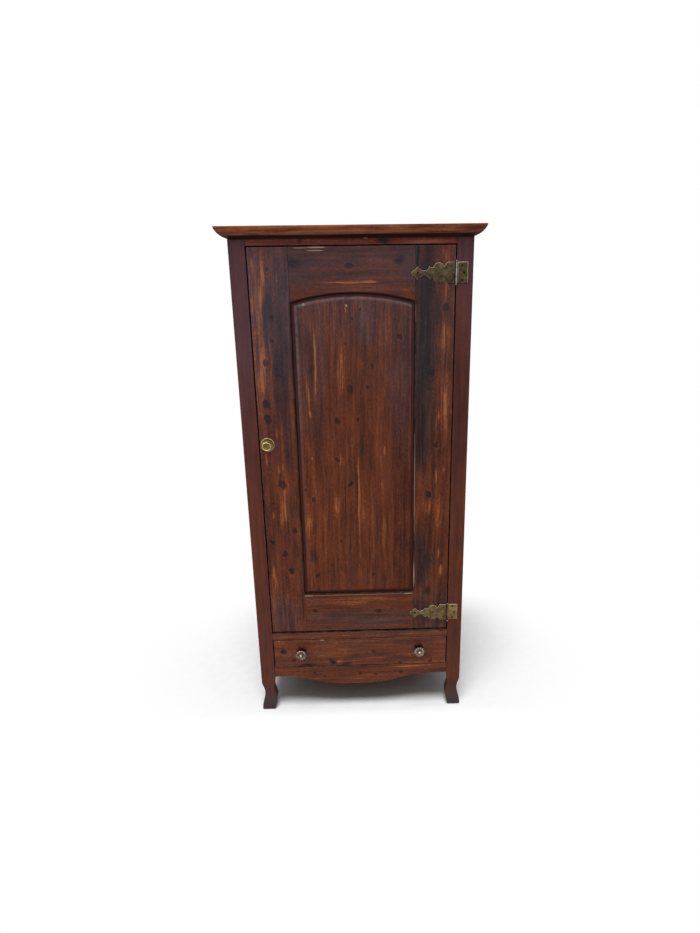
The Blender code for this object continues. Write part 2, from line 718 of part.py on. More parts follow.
def hinges(carrier):
    """Two hinges: strap on the door, leaf on the post, and a pin with ball ends through both."""
    half = HINGE_HEIGHT / 2
    middle = KNUCKLE_LENGTH / 2
    for place, z in hinge_heights.items():
        strap = add_piece("hinge_strap_" + place, prism(strap_outline(z), "Y", leaf_front, leaf_back),
                          OLD_BRASS, carrier)
        roll = add_cutter(strap.name + "_roll", knuckle(-1, z - middle + SEAT, z + middle - SEAT))
        combine(strap, roll, "UNION")
        leaf_body = box((axis_x + KNUCKLE_RADIUS + KNUCKLE_CLEAR, leaf_front, z - half),
                        (axis_x + LEAF_WIDTH, leaf_back, z + half), edge=0)
        leaf = add_piece("hinge_leaf_" + place, leaf_body, OLD_BRASS)
        for name, low, high in (("_roll_high", middle, half), ("_roll_low", -half, -middle)):
            combine(leaf, add_cutter(leaf.name + name, knuckle(1, z + low, z + high)), "UNION")
        pin_radius = KNUCKLE_RADIUS - LEAF_THICKNESS - SEAT
        neck = half + SEAT
        upper = [(pin_radius, neck), (PIN_TIP_RADIUS, neck), (PIN_TIP_RADIUS, neck + PIN_TIP_RADIUS),
                 (0, neck + 2 * PIN_TIP_RADIUS)]
        lower = [(radius, -distance) for radius, distance in reversed(upper)]
        pin = turned(lower + upper, (axis_x, axis_y, z), AXES["Z"], KNUCKLE_STEPS)
        add_piece("hinge_pin_" + place, pin, BRIGHT_STEEL)


def latch(door_carrier, latch_carrier, stile, post):
    """Backplate on the door, a knob whose spindle runs through it, and the tongue that it turns."""
    plate_back = front - SEAT
    plate_front = plate_back - BACKPLATE_THICKNESS
    rim = BACKPLATE_THICKNESS / 2
    profile = [(0, 0), (BACKPLATE_RADIUS, 0), (BACKPLATE_RADIUS, rim),
               (BACKPLATE_RADIUS - rim, BACKPLATE_THICKNESS), (0, BACKPLATE_THICKNESS)]
    body = turned(profile, (knob_x, plate_back, KNOB_HEIGHT), -AXES["Y"], TURNED_SIDES)
    plate = add_piece("knob_backplate", body, OLD_BRASS, door_carrier)
    tip = SCREW_DEPTH + SCREW_POINT
    profile = [(0, -tip), (SCREW_SHANK, -SCREW_DEPTH), (SCREW_SHANK, SEAT), (SCREW_HEAD, SEAT),
               (SCREW_HEAD * math.cos(SHARP_ANGLE), SEAT + SCREW_DOME / 2), (0, SEAT + SCREW_DOME)]
    points = {"upper": KNOB_HEIGHT + BACKPLATE_SCREW_UP, "lower": KNOB_HEIGHT - BACKPLATE_SCREW_UP}
    for place, z in points.items():
        body = turned(profile, (knob_x, plate_front, z), -AXES["Y"], SCREW_SIDES)
        add_piece("backplate_screw_" + place, body, OLD_BRASS, door_carrier)
    holes = [(knob_x, z) for z in points.values()]
    bore((plate, stile), "backplate_holes", holes, SCREW_SHANK + SEAT,
         plate_front - SEAT, plate_front + tip + SEAT)
    tongue_back = tongue_front + TONGUE_THICKNESS
    centre = [(knob_x, KNOB_HEIGHT)]
    bore((plate, stile), "spindle_bore", centre, SPINDLE_RADIUS + TURNING_GAP,
         plate_front - SEAT, tongue_front)

    shoulder = front - plate_front + SEAT
    end = front - tongue_back - SPINDLE_END
    rim_inner = KNOB_RADIUS - KNOB_RIM
    neck_end = (shoulder + KNOB_LENGTH) / 2
    profile = [(0, end), (SPINDLE_RADIUS, end), (SPINDLE_RADIUS, shoulder),
               (KNOB_NECK + KNOB_RIM / 2, shoulder), (KNOB_NECK, (shoulder + neck_end) / 2),
               (KNOB_NECK, neck_end)]
    crown = [(rim_inner, KNOB_LENGTH - 2 * KNOB_RIM), (KNOB_RADIUS, KNOB_LENGTH - KNOB_RIM),
             (KNOB_RADIUS - KNOB_RIM / 2, KNOB_LENGTH), (rim_inner, KNOB_LENGTH - KNOB_HOLLOW / 2),
             (0, KNOB_LENGTH - KNOB_HOLLOW)]
    body = turned(profile + crown, (knob_x, front, KNOB_HEIGHT), -AXES["Y"], TURNED_SIDES)
    add_piece("door_knob", body, OLD_BRASS, latch_carrier)

    half = TONGUE_WIDTH / 2
    end_z = KNOB_HEIGHT - TONGUE_LENGTH + half
    outline = [(knob_x - half, KNOB_HEIGHT)]
    outline += arc(outline[0], (knob_x + half, KNOB_HEIGHT), half, ROUND_STEPS * 2)
    outline.append((knob_x + half, end_z))
    outline += arc(outline[-1], (knob_x - half, end_z), half, ROUND_STEPS * 2)
    body = prism(outline, "Y", tongue_front, tongue_back)
    tongue = add_piece("latch_tongue", body, OLD_BRASS, latch_carrier)
    bore((tongue,), "tongue_hole", centre, SPINDLE_RADIUS + SEAT, tongue_front - SEAT, tongue_back + SEAT)
    slot_low = (-half_open - TONGUE_SLOT_DEPTH, tongue_front - TONGUE_SLOT_CLEAR, KNOB_HEIGHT - TONGUE_LENGTH)
    slot_high = (-half_open, tongue_back + TONGUE_SLOT_CLEAR, KNOB_HEIGHT + half + TONGUE_SLOT_CLEAR)
    let_in(post, slot_low, slot_high)


def drawer_box(carrier):
    """Front, two sides and a back, dadoed together, with the bottom in their grooves."""
    inner_front = front + DRAWER_FRONT
    side_top = drawer_low + DRAWER_SIDE_HEIGHT
    inner_half = drawer_half - DRAWER_SIDE
    back_face = drawer_back - DRAWER_DADO - DRAWER_SIDE
    body = box((-door_edge, front, drawer_low), (door_edge, inner_front, drawer_top))
    face = add_piece("drawer_front", body, WARM_CEDAR, carrier)
    back_low = (-inner_half - DRAWER_DADO, back_face, drawer_low)
    back_high = (inner_half + DRAWER_DADO, drawer_back - DRAWER_DADO, side_top)
    hosts = [face, add_piece("drawer_back", hidden_box(back_low, back_high), INNER_CEDAR, carrier)]
    for place, side in SIDES.items():
        low_x, high_x = sorted((side * inner_half, side * drawer_half))
        low, high = (low_x, inner_front - DRAWER_DADO, drawer_low), (high_x, drawer_back, side_top)
        board = add_piece("drawer_side_" + place, hidden_box(low, high), INNER_CEDAR, carrier)
        let_in(face, (low[0], low[1], low[2] - EDGE), high)
        let_in(board, (back_low[0], back_low[1], back_low[2] - EDGE),
               (back_high[0], back_high[1], back_high[2] + EDGE))
        hosts.append(board)
    bottom_low = (-inner_half - DRAWER_DADO, inner_front - DRAWER_DADO, drawer_low + DRAWER_BOTTOM_UP)
    bottom_high = (inner_half + DRAWER_DADO, back_face + DRAWER_DADO, bottom_low[2] + DRAWER_BOTTOM)
    for host in hosts:
        let_in(host, bottom_low, bottom_high)
    add_piece("drawer_bottom", hidden_box(bottom_low, bottom_high), INNER_CEDAR, carrier)
    return face


def drawer_knobs(carrier, face):
    """Two turned knobs with a flower-shaped rim, each held by a screw from inside the drawer."""
    petal_front = DRAWER_KNOB_LENGTH - DRAWER_KNOB_DOME / 2
    petal_back = petal_front - DRAWER_KNOB_DOME / 2
    flare = (DRAWER_KNOB_STEM + DRAWER_KNOB_BASE) / 2
    base_end = (DRAWER_KNOB_BASE - DRAWER_KNOB_STEM) * 2
    dome = DRAWER_KNOB_DOME
    petal = DRAWER_KNOB_PETAL - PETAL_DEPTH
    shape = (
        (0, SEAT, 0), (DRAWER_KNOB_BASE, SEAT, 0), (DRAWER_KNOB_BASE, base_end / 2, 0),
        (DRAWER_KNOB_STEM, base_end, 0), (flare, petal_back - dome / 2, 0),
        (petal, petal_back, PETAL_DEPTH), (petal, petal_front, PETAL_DEPTH),
        (dome, petal_front - PETAL_DEPTH, 0), (dome / 2, DRAWER_KNOB_LENGTH - PETAL_DEPTH / 2, 0),
        (0, DRAWER_KNOB_LENGTH, 0),
    )
    profile = [point[:2] for point in shape]
    ripple = [point[2] for point in shape]
    knobs, points = [], []
    for place, side in SIDES.items():
        points.append((side * (door_edge - DRAWER_KNOB_INSET), drawer_knob_z))
        centre = (points[-1][0], front, drawer_knob_z)
        body = turned(profile, centre, -AXES["Y"], PETAL_SIDES, ripple)
        knobs.append(add_piece("drawer_knob_" + place, body, PEWTER, carrier))
    inner_front = front + DRAWER_FRONT
    head = inner_front + SEAT
    length = DRAWER_FRONT + SEAT + KNOB_SCREW_GRIP
    profile = [(0, -KNOB_SCREW_HEAD_HEIGHT), (KNOB_SCREW_HEAD, -KNOB_SCREW_HEAD_HEIGHT), (KNOB_SCREW_HEAD, 0),
               (KNOB_SCREW_RADIUS, 0), (KNOB_SCREW_RADIUS, length), (0, length)]
    for place, (x, z) in zip(SIDES, points):
        body = turned(profile, (x, head, z), -AXES["Y"], SCREW_SIDES)
        add_piece("drawer_knob_screw_" + place, body, BRIGHT_STEEL, carrier)
    bore((face, *knobs), "drawer_knob_holes", points, KNOB_SCREW_RADIUS + SEAT,
         head - length - SEAT, head + SEAT)


def drawer_runners():
    """L-shaped strips on the side rails that carry the drawer and guide it."""
    bearing = half_open - RUNNER_BEARING
    outer = side_rail_in - SEAT
    top = drawer_low - SEAT
    outline = [(bearing, top - RUNNER_DEPTH), (outer, top - RUNNER_DEPTH), (outer, top + RUNNER_GUIDE),
               (half_open, top + RUNNER_GUIDE), (half_open, top), (bearing, top)]
    for place, side in SIDES.items():
        body = prism([(side * x, z) for x, z in outline], "Y", front + POST + SEAT, back - POST - SEAT)
        add_piece("drawer_runner_" + place, body, INNER_CEDAR)


def main():
    """Build the case, then what moves in it."""
    door_axis = add_carrier("door_axis", (axis_x, axis_y, door_low))
    latch_axis = add_carrier("latch_axis", (knob_x, front, KNOB_HEIGHT), door_axis)
    drawer_axis = add_carrier("drawer_axis", (0, front, drawer_low))
    front_pair = front_posts()
    back_pair = back_posts()
    front_rails(front_pair)
    sides(front_pair, back_pair)
    back_wall(back_pair)
    top_and_crown()
    inside()
    drawer_runners()
    stiles = door_frame(door_axis)
    hinges(door_axis)
    latch(door_axis, latch_axis, stiles["left"], front_pair["left"])
    face = drawer_box(drawer_axis)
    drawer_knobs(drawer_axis, face)


main()
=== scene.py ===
"""Looks of the red cedar wardrobe: finishes, carved panel, fine metalwork, studio and camera.

Metres, +Z up. The front looks along -Y, and +X is on the right of someone who stands before it.
Marks on the planks are in millimetres: along the grain first, then across it.
"""
import json
import math
import random
from functools import partialmethod

import bmesh
import bpy
from mathutils import Matrix, Vector

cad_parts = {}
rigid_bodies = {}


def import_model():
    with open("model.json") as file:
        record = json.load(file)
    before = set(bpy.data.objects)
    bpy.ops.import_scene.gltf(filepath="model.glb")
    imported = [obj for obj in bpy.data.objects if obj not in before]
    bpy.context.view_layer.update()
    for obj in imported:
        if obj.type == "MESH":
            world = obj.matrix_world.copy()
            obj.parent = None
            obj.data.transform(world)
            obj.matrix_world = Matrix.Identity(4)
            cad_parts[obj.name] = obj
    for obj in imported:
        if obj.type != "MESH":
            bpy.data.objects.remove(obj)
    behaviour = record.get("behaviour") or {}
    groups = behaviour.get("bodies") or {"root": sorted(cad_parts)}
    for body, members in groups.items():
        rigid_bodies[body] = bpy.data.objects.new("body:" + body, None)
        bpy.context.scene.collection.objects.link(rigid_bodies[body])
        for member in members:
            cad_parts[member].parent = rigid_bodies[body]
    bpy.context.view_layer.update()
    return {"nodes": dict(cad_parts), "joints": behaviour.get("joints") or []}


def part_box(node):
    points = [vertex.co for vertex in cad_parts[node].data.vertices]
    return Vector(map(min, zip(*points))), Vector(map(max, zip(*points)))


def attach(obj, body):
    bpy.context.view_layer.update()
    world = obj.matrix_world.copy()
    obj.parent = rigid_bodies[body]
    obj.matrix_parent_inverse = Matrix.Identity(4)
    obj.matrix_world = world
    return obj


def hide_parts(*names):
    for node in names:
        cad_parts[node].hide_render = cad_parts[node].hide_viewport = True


for old_object in list(bpy.data.objects):
    bpy.data.objects.remove(old_object)
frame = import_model()
nodes = frame["nodes"]

MM = 0.001
AHEAD = (0, -1, 0)

# Camera, fitted to the corners of the front in the photograph's frame
PHOTO_WIDTH = 700
PHOTO_HEIGHT = 933
CAMERA_PLACE = (0.0063, -1.8468, 1.3274)
CAMERA_YAW = -0.0234
CAMERA_PITCH = 0.2884
CAMERA_ROLL = -0.0142
CAMERA_FOCAL_PIXELS = 578.9
CAMERA_CENTRE_X_PIXEL = 371.44
SENSOR_MM = 36.0

# Sizes that repeat the construction's
SEAT = 0.0003
PANEL_BEVEL = 0.018
PANEL_TONGUE_BACK = 0.006
PANEL_OPENING_HALF = 0.171
PANEL_OPENING_LOW = 0.4251
PANEL_ARCH_APEX = 1.3332
PANEL_ARCH_RISE = 0.0245
ARCH_RADIUS = (PANEL_OPENING_HALF ** 2 + PANEL_ARCH_RISE ** 2) / (2 * PANEL_ARCH_RISE)
ARCH_CENTRE = PANEL_ARCH_APEX - ARCH_RADIUS
STRAP_LENGTH = 0.1205
LEAF_WIDTH = 0.032
HINGE_HEIGHT = 0.055
LEAF_THICKNESS = 0.0015
KNUCKLE_RADIUS = 0.0032
KNUCKLE_LENGTH = 0.023
KNUCKLE_CLEAR = 0.0004
BACKPLATE_RADIUS = 0.0205
BACKPLATE_THICKNESS = 0.0018

# Fine shapes of the panel and the hinges
PANEL_ARCH_STEPS = 48
PANEL_SHOULDER = 0.0100
PANEL_SHOULDER_RISE = 0.0046
PANEL_SHOULDER_STEPS = 10
STRAP_ROUND = 0.0013
LEAF_ROUND = 0.0012
KNUCKLE_ROUND = 0.0005
PIN_TIP_RADIUS = 0.0026
PIN_TIP_STEPS = 8
PIN_NECK_RADIUS = 0.0014
PIN_NECK_LENGTH = 0.004
# Strap outline above its centre line: share of its length, share of half its height, bulge share
STRAP_SHAPE = (
    (0.197, 1.00, 0.0),
    (0.274, 0.56, 0.0),
    (0.510, 0.51, 0.40),
    (0.602, 0.61, -0.12),
    (0.730, 0.22, -0.19),
    (0.872, 0.60, -0.07),
    (0.928, 0.30, -0.03),
    (1.000, 0.00, 0.16),
)
STRAP_ARC_STEPS = 14
# The countersunk hole at the strap's end: how far left of the pin, then radius and distance ahead
END_HOLE_OUT = 0.104
END_HOLE = ((0.0, -0.004), (0.0027, -0.004), (0.0027, 0.0009), (0.0037, 0.0022), (0.0, 0.0022))
# Screws of a hinge: body, place right of the pin, place over the hinge's middle, whether it is dark.
# The dark screw in the strap's end hole also stands in for the hole's shade.
HINGE_SCREWS = (
    ("door", -0.013, 0.017, False), ("door", -0.013, -0.017, False), ("door", -0.047, 0.0, False),
    ("case", 0.016, 0.0195, True), ("case", 0.016, -0.0195, True), ("case", 0.0215, 0.0, True),
    ("door", -END_HOLE_OUT, 0.0, True),
)
HINGE_SCREW_RADIUS = 0.0032
METAL_SHARP_DEGREES = 35
SCREW_DOME = 0.0007
SCREW_DEPTH = 0.0006
# Materials of a hinge after its brass: the knuckle's front, painted highlight, and painted shade
KNUCKLE, LIT_EDGE, SHADED = 1, 2, 3

# Fine shapes of the knobs and nails
BACKPLATE_SCREW_RADIUS = 0.0029
BACKPLATE_SCREW_UP = 0.0155
BACKPLATE_SCREW_AHEAD = 0.0014
# Turned profiles of a drawer knob: radius and distance ahead of the drawer
STEM = ((0.0, SEAT), (0.0150, SEAT), (0.0150, 0.0026), (0.0120, 0.0052), (0.0098, 0.0120), (0.0104, 0.0200),
        (0.0135, 0.0262), (0.0, 0.0262))
DISC = ((0.0, 0.0255), (0.0138, 0.0255), (0.0150, 0.0270), (0.0138, 0.0292), (0.0, 0.0300))
COLLAR = ((0.0, 0.0290), (0.0078, 0.0290), (0.0078, 0.0318), (0.0066, 0.0330), (0.0050, 0.0320),
          (0.0, 0.0320))
DOME_RADIUS = 0.0044
DOME_FOOT = 0.0319
DOME_STEPS = 8
PETALS = 12
PETAL_OUT = 0.0120
PETAL_AHEAD = 0.0286
PETAL_HALF_LENGTH = 0.0055
PETAL_HALF_WIDTH = 0.0036
PETAL_HEIGHT = 0.0032
PETAL_SWELL = 0.30
PETAL_STEPS = 8
PETAL_SIDES = 12
NAIL_HEAD = ((0.0, -0.0004), (0.0023, -0.0004), (0.0023, 0.0001), (0.0016, 0.0004), (0.0, 0.0005))
NAIL_SHARES = (0.22, 0.78)

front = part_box("drawer_front")[0].y
crown_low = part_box("crown_front")[0].z
joint_place = {joint["name"]: joint.get("pos_m") for joint in frame["joints"]}
axis_x, axis_y = joint_place["door_hinge"][:2]
knob_x, knob_z = joint_place["latch_turn"][0], joint_place["latch_turn"][2]
leaf_back = front - SEAT
leaf_front = leaf_back - LEAF_THICKNESS


class Net:
    """Short words for the nodes of one tree."""

    def __init__(self, tree):
        self.tree = tree

    def feed(self, node, inputs):
        """Give a node its inputs, each a value or another node's output."""
        for key, value in inputs.items():
            if isinstance(value, bpy.types.NodeSocket):
                self.tree.links.new(value, node.inputs[key])
            else:
                node.inputs[key].default_value = value

    def put(self, kind, inputs=None, **settings):
        """A new node with its settings and inputs."""
        node = self.tree.nodes.new(kind)
        for key, value in settings.items():
            setattr(node, key, value)
        self.feed(node, inputs or {})
        return node

    def math(self, operation, *values):
        return self.put("ShaderNodeMath", dict(enumerate(values)), operation=operation).outputs[0]

    add = partialmethod(math, "ADD")
    minus = partialmethod(math, "SUBTRACT")
    times = partialmethod(math, "MULTIPLY")
    muladd = partialmethod(math, "MULTIPLY_ADD")
    most = partialmethod(math, "MAXIMUM")
    least = partialmethod(math, "MINIMUM")

    def sway(self, noise, amount, base):
        """A base that a noise moves up and down."""
        return self.muladd(self.minus(noise, 0.5), amount, base)

    def vector(self, operation, *values):
        node = self.put("ShaderNodeVectorMath", dict(enumerate(values)), operation=operation)
        return node.outputs["Value" if operation == "LENGTH" else "Vector"]

    def combine(self, x, y, z):
        return self.put("ShaderNodeCombineXYZ", {0: x, 1: y, 2: z}).outputs[0]

    def split(self, vector):
        return self.put("ShaderNodeSeparateXYZ", {0: vector}).outputs

    def noise(self, point, waves, detail=2.0, roughness=0.5):
        """Noise with so many waves in a metre each way, fewer along the grain."""
        place = self.vector("MULTIPLY", point, waves)
        inputs = {"Vector": place, "Scale": 1.0, "Detail": detail, "Roughness": roughness}
        return self.put("ShaderNodeTexNoise", inputs).outputs["Fac"]

    def smooth(self, value, start, end, low=0.0, high=1.0):
        """Ease from low at start to high at end."""
        inputs = {0: value, 1: start, 2: end, 3: low, 4: high}
        return self.put("ShaderNodeMapRange", inputs, interpolation_type="SMOOTHSTEP").outputs[0]

    def spot(self, point, centre, half, turn=0.0, kind="SPHERICAL"):
        """Soft oval: one in its middle and nought at its rim."""
        inputs = {"Vector": point, "Location": centre, "Rotation": (0, 0, turn), "Scale": half}
        place = self.put("ShaderNodeMapping", inputs, vector_type="TEXTURE").outputs[0]
        return self.put("ShaderNodeTexGradient", {0: place}, gradient_type=kind).outputs["Fac"]

    def choose(self, factor, first, second):
        """The first number where the factor is nought, and the second where it is one."""
        return self.put("ShaderNodeMix", {0: factor, 2: first, 3: second}, data_type="FLOAT").outputs[0]

    def mix(self, factor, first, second, blend="MIX"):
        node = self.put("ShaderNodeMix", {0: factor, 6: first, 7: second}, data_type="RGBA", blend_type=blend)
        return node.outputs[2]

    def coat(self, colour, paint, value, start, end, amount, blend="MIX"):
        """A colour under a plain paint: none where the value is at start, and amount of it at end."""
        return self.mix(self.smooth(value, start, end, 0.0, amount), colour, (*paint, 1), blend)

    def ramp(self, factor, stops):
        """Colours along a factor: each stop is a place and a linear colour."""
        node = self.put("ShaderNodeValToRGB", {0: factor})
        elements = node.color_ramp.elements
        while len(elements) < len(stops):
            elements.new(0.5)
        for element, (place, colour) in zip(elements, stops):
            element.position = place
            element.color = (*colour, 1.0)
        return node.outputs["Color"]

    def bump(self, height, distance, strength):
        inputs = {"Height": height, "Distance": distance, "Strength": strength}
        return self.put("ShaderNodeBump", inputs).outputs["Normal"]

    def place(self):
        """Where a point of the piece lies at rest."""
        return self.put("ShaderNodeTexCoord").outputs["Object"]


def new_material(name):
    """A material with its net and its shader."""
    material = bpy.data.materials.new(name)
    material.use_nodes = True
    shader = material.node_tree.nodes["Principled BSDF"]
    return material, Net(material.node_tree), shader


def shades(places, *colours):
    """Linear colours, given in thousandths, at their places along a tone."""
    return [(place, [part / 1000 for part in colour]) for place, colour in zip(places, colours)]


# Stains of the cedar from dark to light: the cool wood and the warm wood of one plank
WOOD = (0.0, 0.28, 0.50, 0.72, 1.0)
STAINED = (
    shades(WOOD, (13, 8, 7), (37, 18, 15), (66, 31, 26), (104, 50, 40), (170, 90, 70)),
    shades(WOOD, (14, 6, 5), (44, 13, 8), (100, 27, 13), (168, 45, 19), (330, 118, 42)),
)
ORANGE = (
    STAINED[0],
    shades(WOOD, (20, 7, 5), (80, 21, 11), (167, 44, 20), (266, 74, 32), (420, 152, 72)),
)
MAROON = (
    shades(WOOD, (14, 7, 9), (42, 18, 21), (79, 34, 41), (118, 52, 55), (180, 90, 80)),
    STAINED[1],
)
PLUM = (
    shades(WOOD, (13, 7, 7), (40, 17, 16), (73, 31, 30), (112, 50, 44), (175, 90, 73)),
    STAINED[1],
)
RED = (
    MAROON[0],
    shades(WOOD, (14, 5, 5), (46, 10, 9), (104, 22, 16), (172, 38, 26), (290, 85, 60)),
)
BARE = (
    shades(WOOD, (70, 36, 24), (170, 86, 54), (290, 160, 100), (420, 265, 170), (560, 400, 270)),
    shades(WOOD, (60, 24, 14), (160, 62, 32), (280, 115, 58), (400, 195, 105), (540, 330, 200)),
)
KNOT_SLATE = (0.017, 0.011, 0.010)
BARE_KNOT = (0.060, 0.022, 0.013)
CREAM = (0.480, 0.380, 0.270)
SOIL = (0.045, 0.039, 0.039)
# Near-black of painted shade in gaps, in grooves and under the crown
PAINTED_SHADE = (0.007, 0.004, 0.005)
SKY_SHEEN_BLUE = (0.003, 0.009, 0.014)
# Dark red of painted shade on the panel's bevel, and mauve of a painted sky reflection on its shoulder
BEVEL_SHADE_RED = (0.058, 0.013, 0.010)
SHEEN_MAUVE = (0.132, 0.104, 0.118)

# Slow and quick bends of the grain: waves in a metre, sway in metres, step from seed to seed
BENDS = (((2.2, 9.0, 1.0), 0.022, 3.7), ((9.0, 70.0, 1.0), 0.010, 5.1))
# Layers of the grain: waves in a metre, detail, roughness, and share in the tone
LAYERS = {
    "broad": ((2.2, 17, 17), 2.0, 0.50, 0.50),
    "mottle": ((16, 46, 46), 3.0, 0.50, 0.50),
    "band": ((4.0, 95, 95), 3.0, 0.55, 0.85),
    "line": ((11, 270, 270), 3.0, 0.60, 0.58),
    "fleck": ((130, 420, 420), 2.0, 0.60, 0.36),
    "fibre": ((300, 1600, 1600), 2.0, 0.60, 0.20),
}
HUE_WAVES = (2.6, 38, 38)
HUE_OFFSET = (3.1, 1.7, 0.0)
# How far off the grain of a plank's narrow faces is read, clear of the marks on its wide ones
EDGE_SHIFT = 5.0
NARROW_FACING = 0.7
BOARD_JUMP = 0.83
# Knots: ovals in which the grain bends and in which the knot shows, in radii, and how far the grain bends
KNOT_BEND_OVAL = (4.6, 2.6)
KNOT_OVAL = (2.3, 1.7)
KNOT_PUSH = (0, -1.25, 0)
KNOT_STRENGTH = 0.46
EDGE_WEAR = 0.10
WOOD_SPECULAR = 0.09
# Chips lie only on the front: the depths behind it at which they are gone and whole
CHIP_DEPTH = (0.012, 0.009)


def add_knots(net, point, knots):
    """Bend the grain round each knot. Gives the bent place, the knots' cores and what lies round them."""
    core, halo = 0.0, 0.0
    ragged = net.noise(point, (110, 170, 170), 4.0, 0.65)
    wobble = net.sway(ragged, 1.4, 0.0)
    for along, across, radius in knots:
        centre = (along * MM, across * MM, 0)
        size = radius * MM
        bend = (size * KNOT_BEND_OVAL[0], size * KNOT_BEND_OVAL[1], 1)
        oval = (size * KNOT_OVAL[0], size * KNOT_OVAL[1], 1)
        turn = 0.6 * math.sin(along + across)
        near = net.spot(point, centre, bend, kind="QUADRATIC_SPHERE")
        push = net.vector("MULTIPLY", net.vector("SUBTRACT", point, centre), KNOT_PUSH)
        here = net.add(net.spot(point, centre, oval, turn), wobble)
        point = net.vector("MULTIPLY_ADD", push, near, point)
        eye = net.minus(net.smooth(here, 0.32, 0.78), net.smooth(here, 0.68, 1.05, 0.0, 0.72))
        core = net.most(core, eye)
        halo = net.most(halo, net.smooth(here, -0.10, 0.60))
    return point, core, halo


def add_streaks(net, point, comb, streaks):
    """How much lighter or darker streaks make the wood. They taper to both ends, combed by the grain."""
    lift = 0.0
    for start, start_across, end, end_across, half_width, amount in streaks:
        middle = ((start + end) / 2 * MM, (start_across + end_across) / 2 * MM, 0)
        turn = math.atan2(end_across - start_across, end - start)
        half = (math.hypot(end - start, end_across - start_across) / 2 * MM * 1.2, half_width * MM * 1.6, 1)
        here = net.smooth(net.spot(point, middle, half, turn), 0.0, 0.8)
        lift = net.muladd(here, amount, lift)
    return net.times(lift, net.muladd(comb, 0.9, 0.5))


def add_chips_and_glints(net, colour, flat, place, y, chips_and_glints):
    """Pale wood where the stain has come off the front; on the bottom door rail's arris, partly a painted
    highlight.
    """
    flaky = net.noise(place, (260, 260, 260), 3.0, 0.6)
    on_front = net.smooth(y, front + CHIP_DEPTH[0], front + CHIP_DEPTH[1])
    for start, start_across, end, end_across, half_width, amount in chips_and_glints:
        middle = ((start + end) / 2 * MM, (start_across + end_across) / 2 * MM, 0)
        half = (abs(end - start) / 2 * MM * 1.1, half_width * MM * 2, 1)
        pale_mark = net.sway(flaky, 1.4, net.smooth(net.spot(flat, middle, half), 0.0, 0.7))
        pale_mark = net.times(net.smooth(pale_mark, 0.35, 0.85, 0.0, amount), on_front)
        colour = net.mix(pale_mark, colour, (*CREAM, 1))
    return colour


def within(net, value, low, high):
    """Distance to the nearer of two bounds."""
    return net.least(net.minus(value, low), net.minus(high, value))


def edge_distance(net, place, low, high):
    """Distance to the nearest arris of a box: the second smallest distance to its faces."""
    x, y, z = (within(net, *bounds) for bounds in zip(net.split(place), low, high))
    larger = net.most(x, y)
    smaller = net.least(x, y)
    return net.most(smaller, net.least(larger, z))


def plank_places(net, parts, axes):
    """Places along the grain, across it and into the plank, the last two exchanged on narrow faces."""
    along, across, depth = (parts[letter] for letter in axes)
    facing = net.split(net.put("ShaderNodeTexCoord").outputs["Normal"])[axes[1].upper()]
    narrow = net.math("GREATER_THAN", net.math("ABSOLUTE", facing), NARROW_FACING)
    inner = net.add(depth, EDGE_SHIFT)
    return along, net.choose(narrow, across, inner), net.choose(narrow, depth, across)


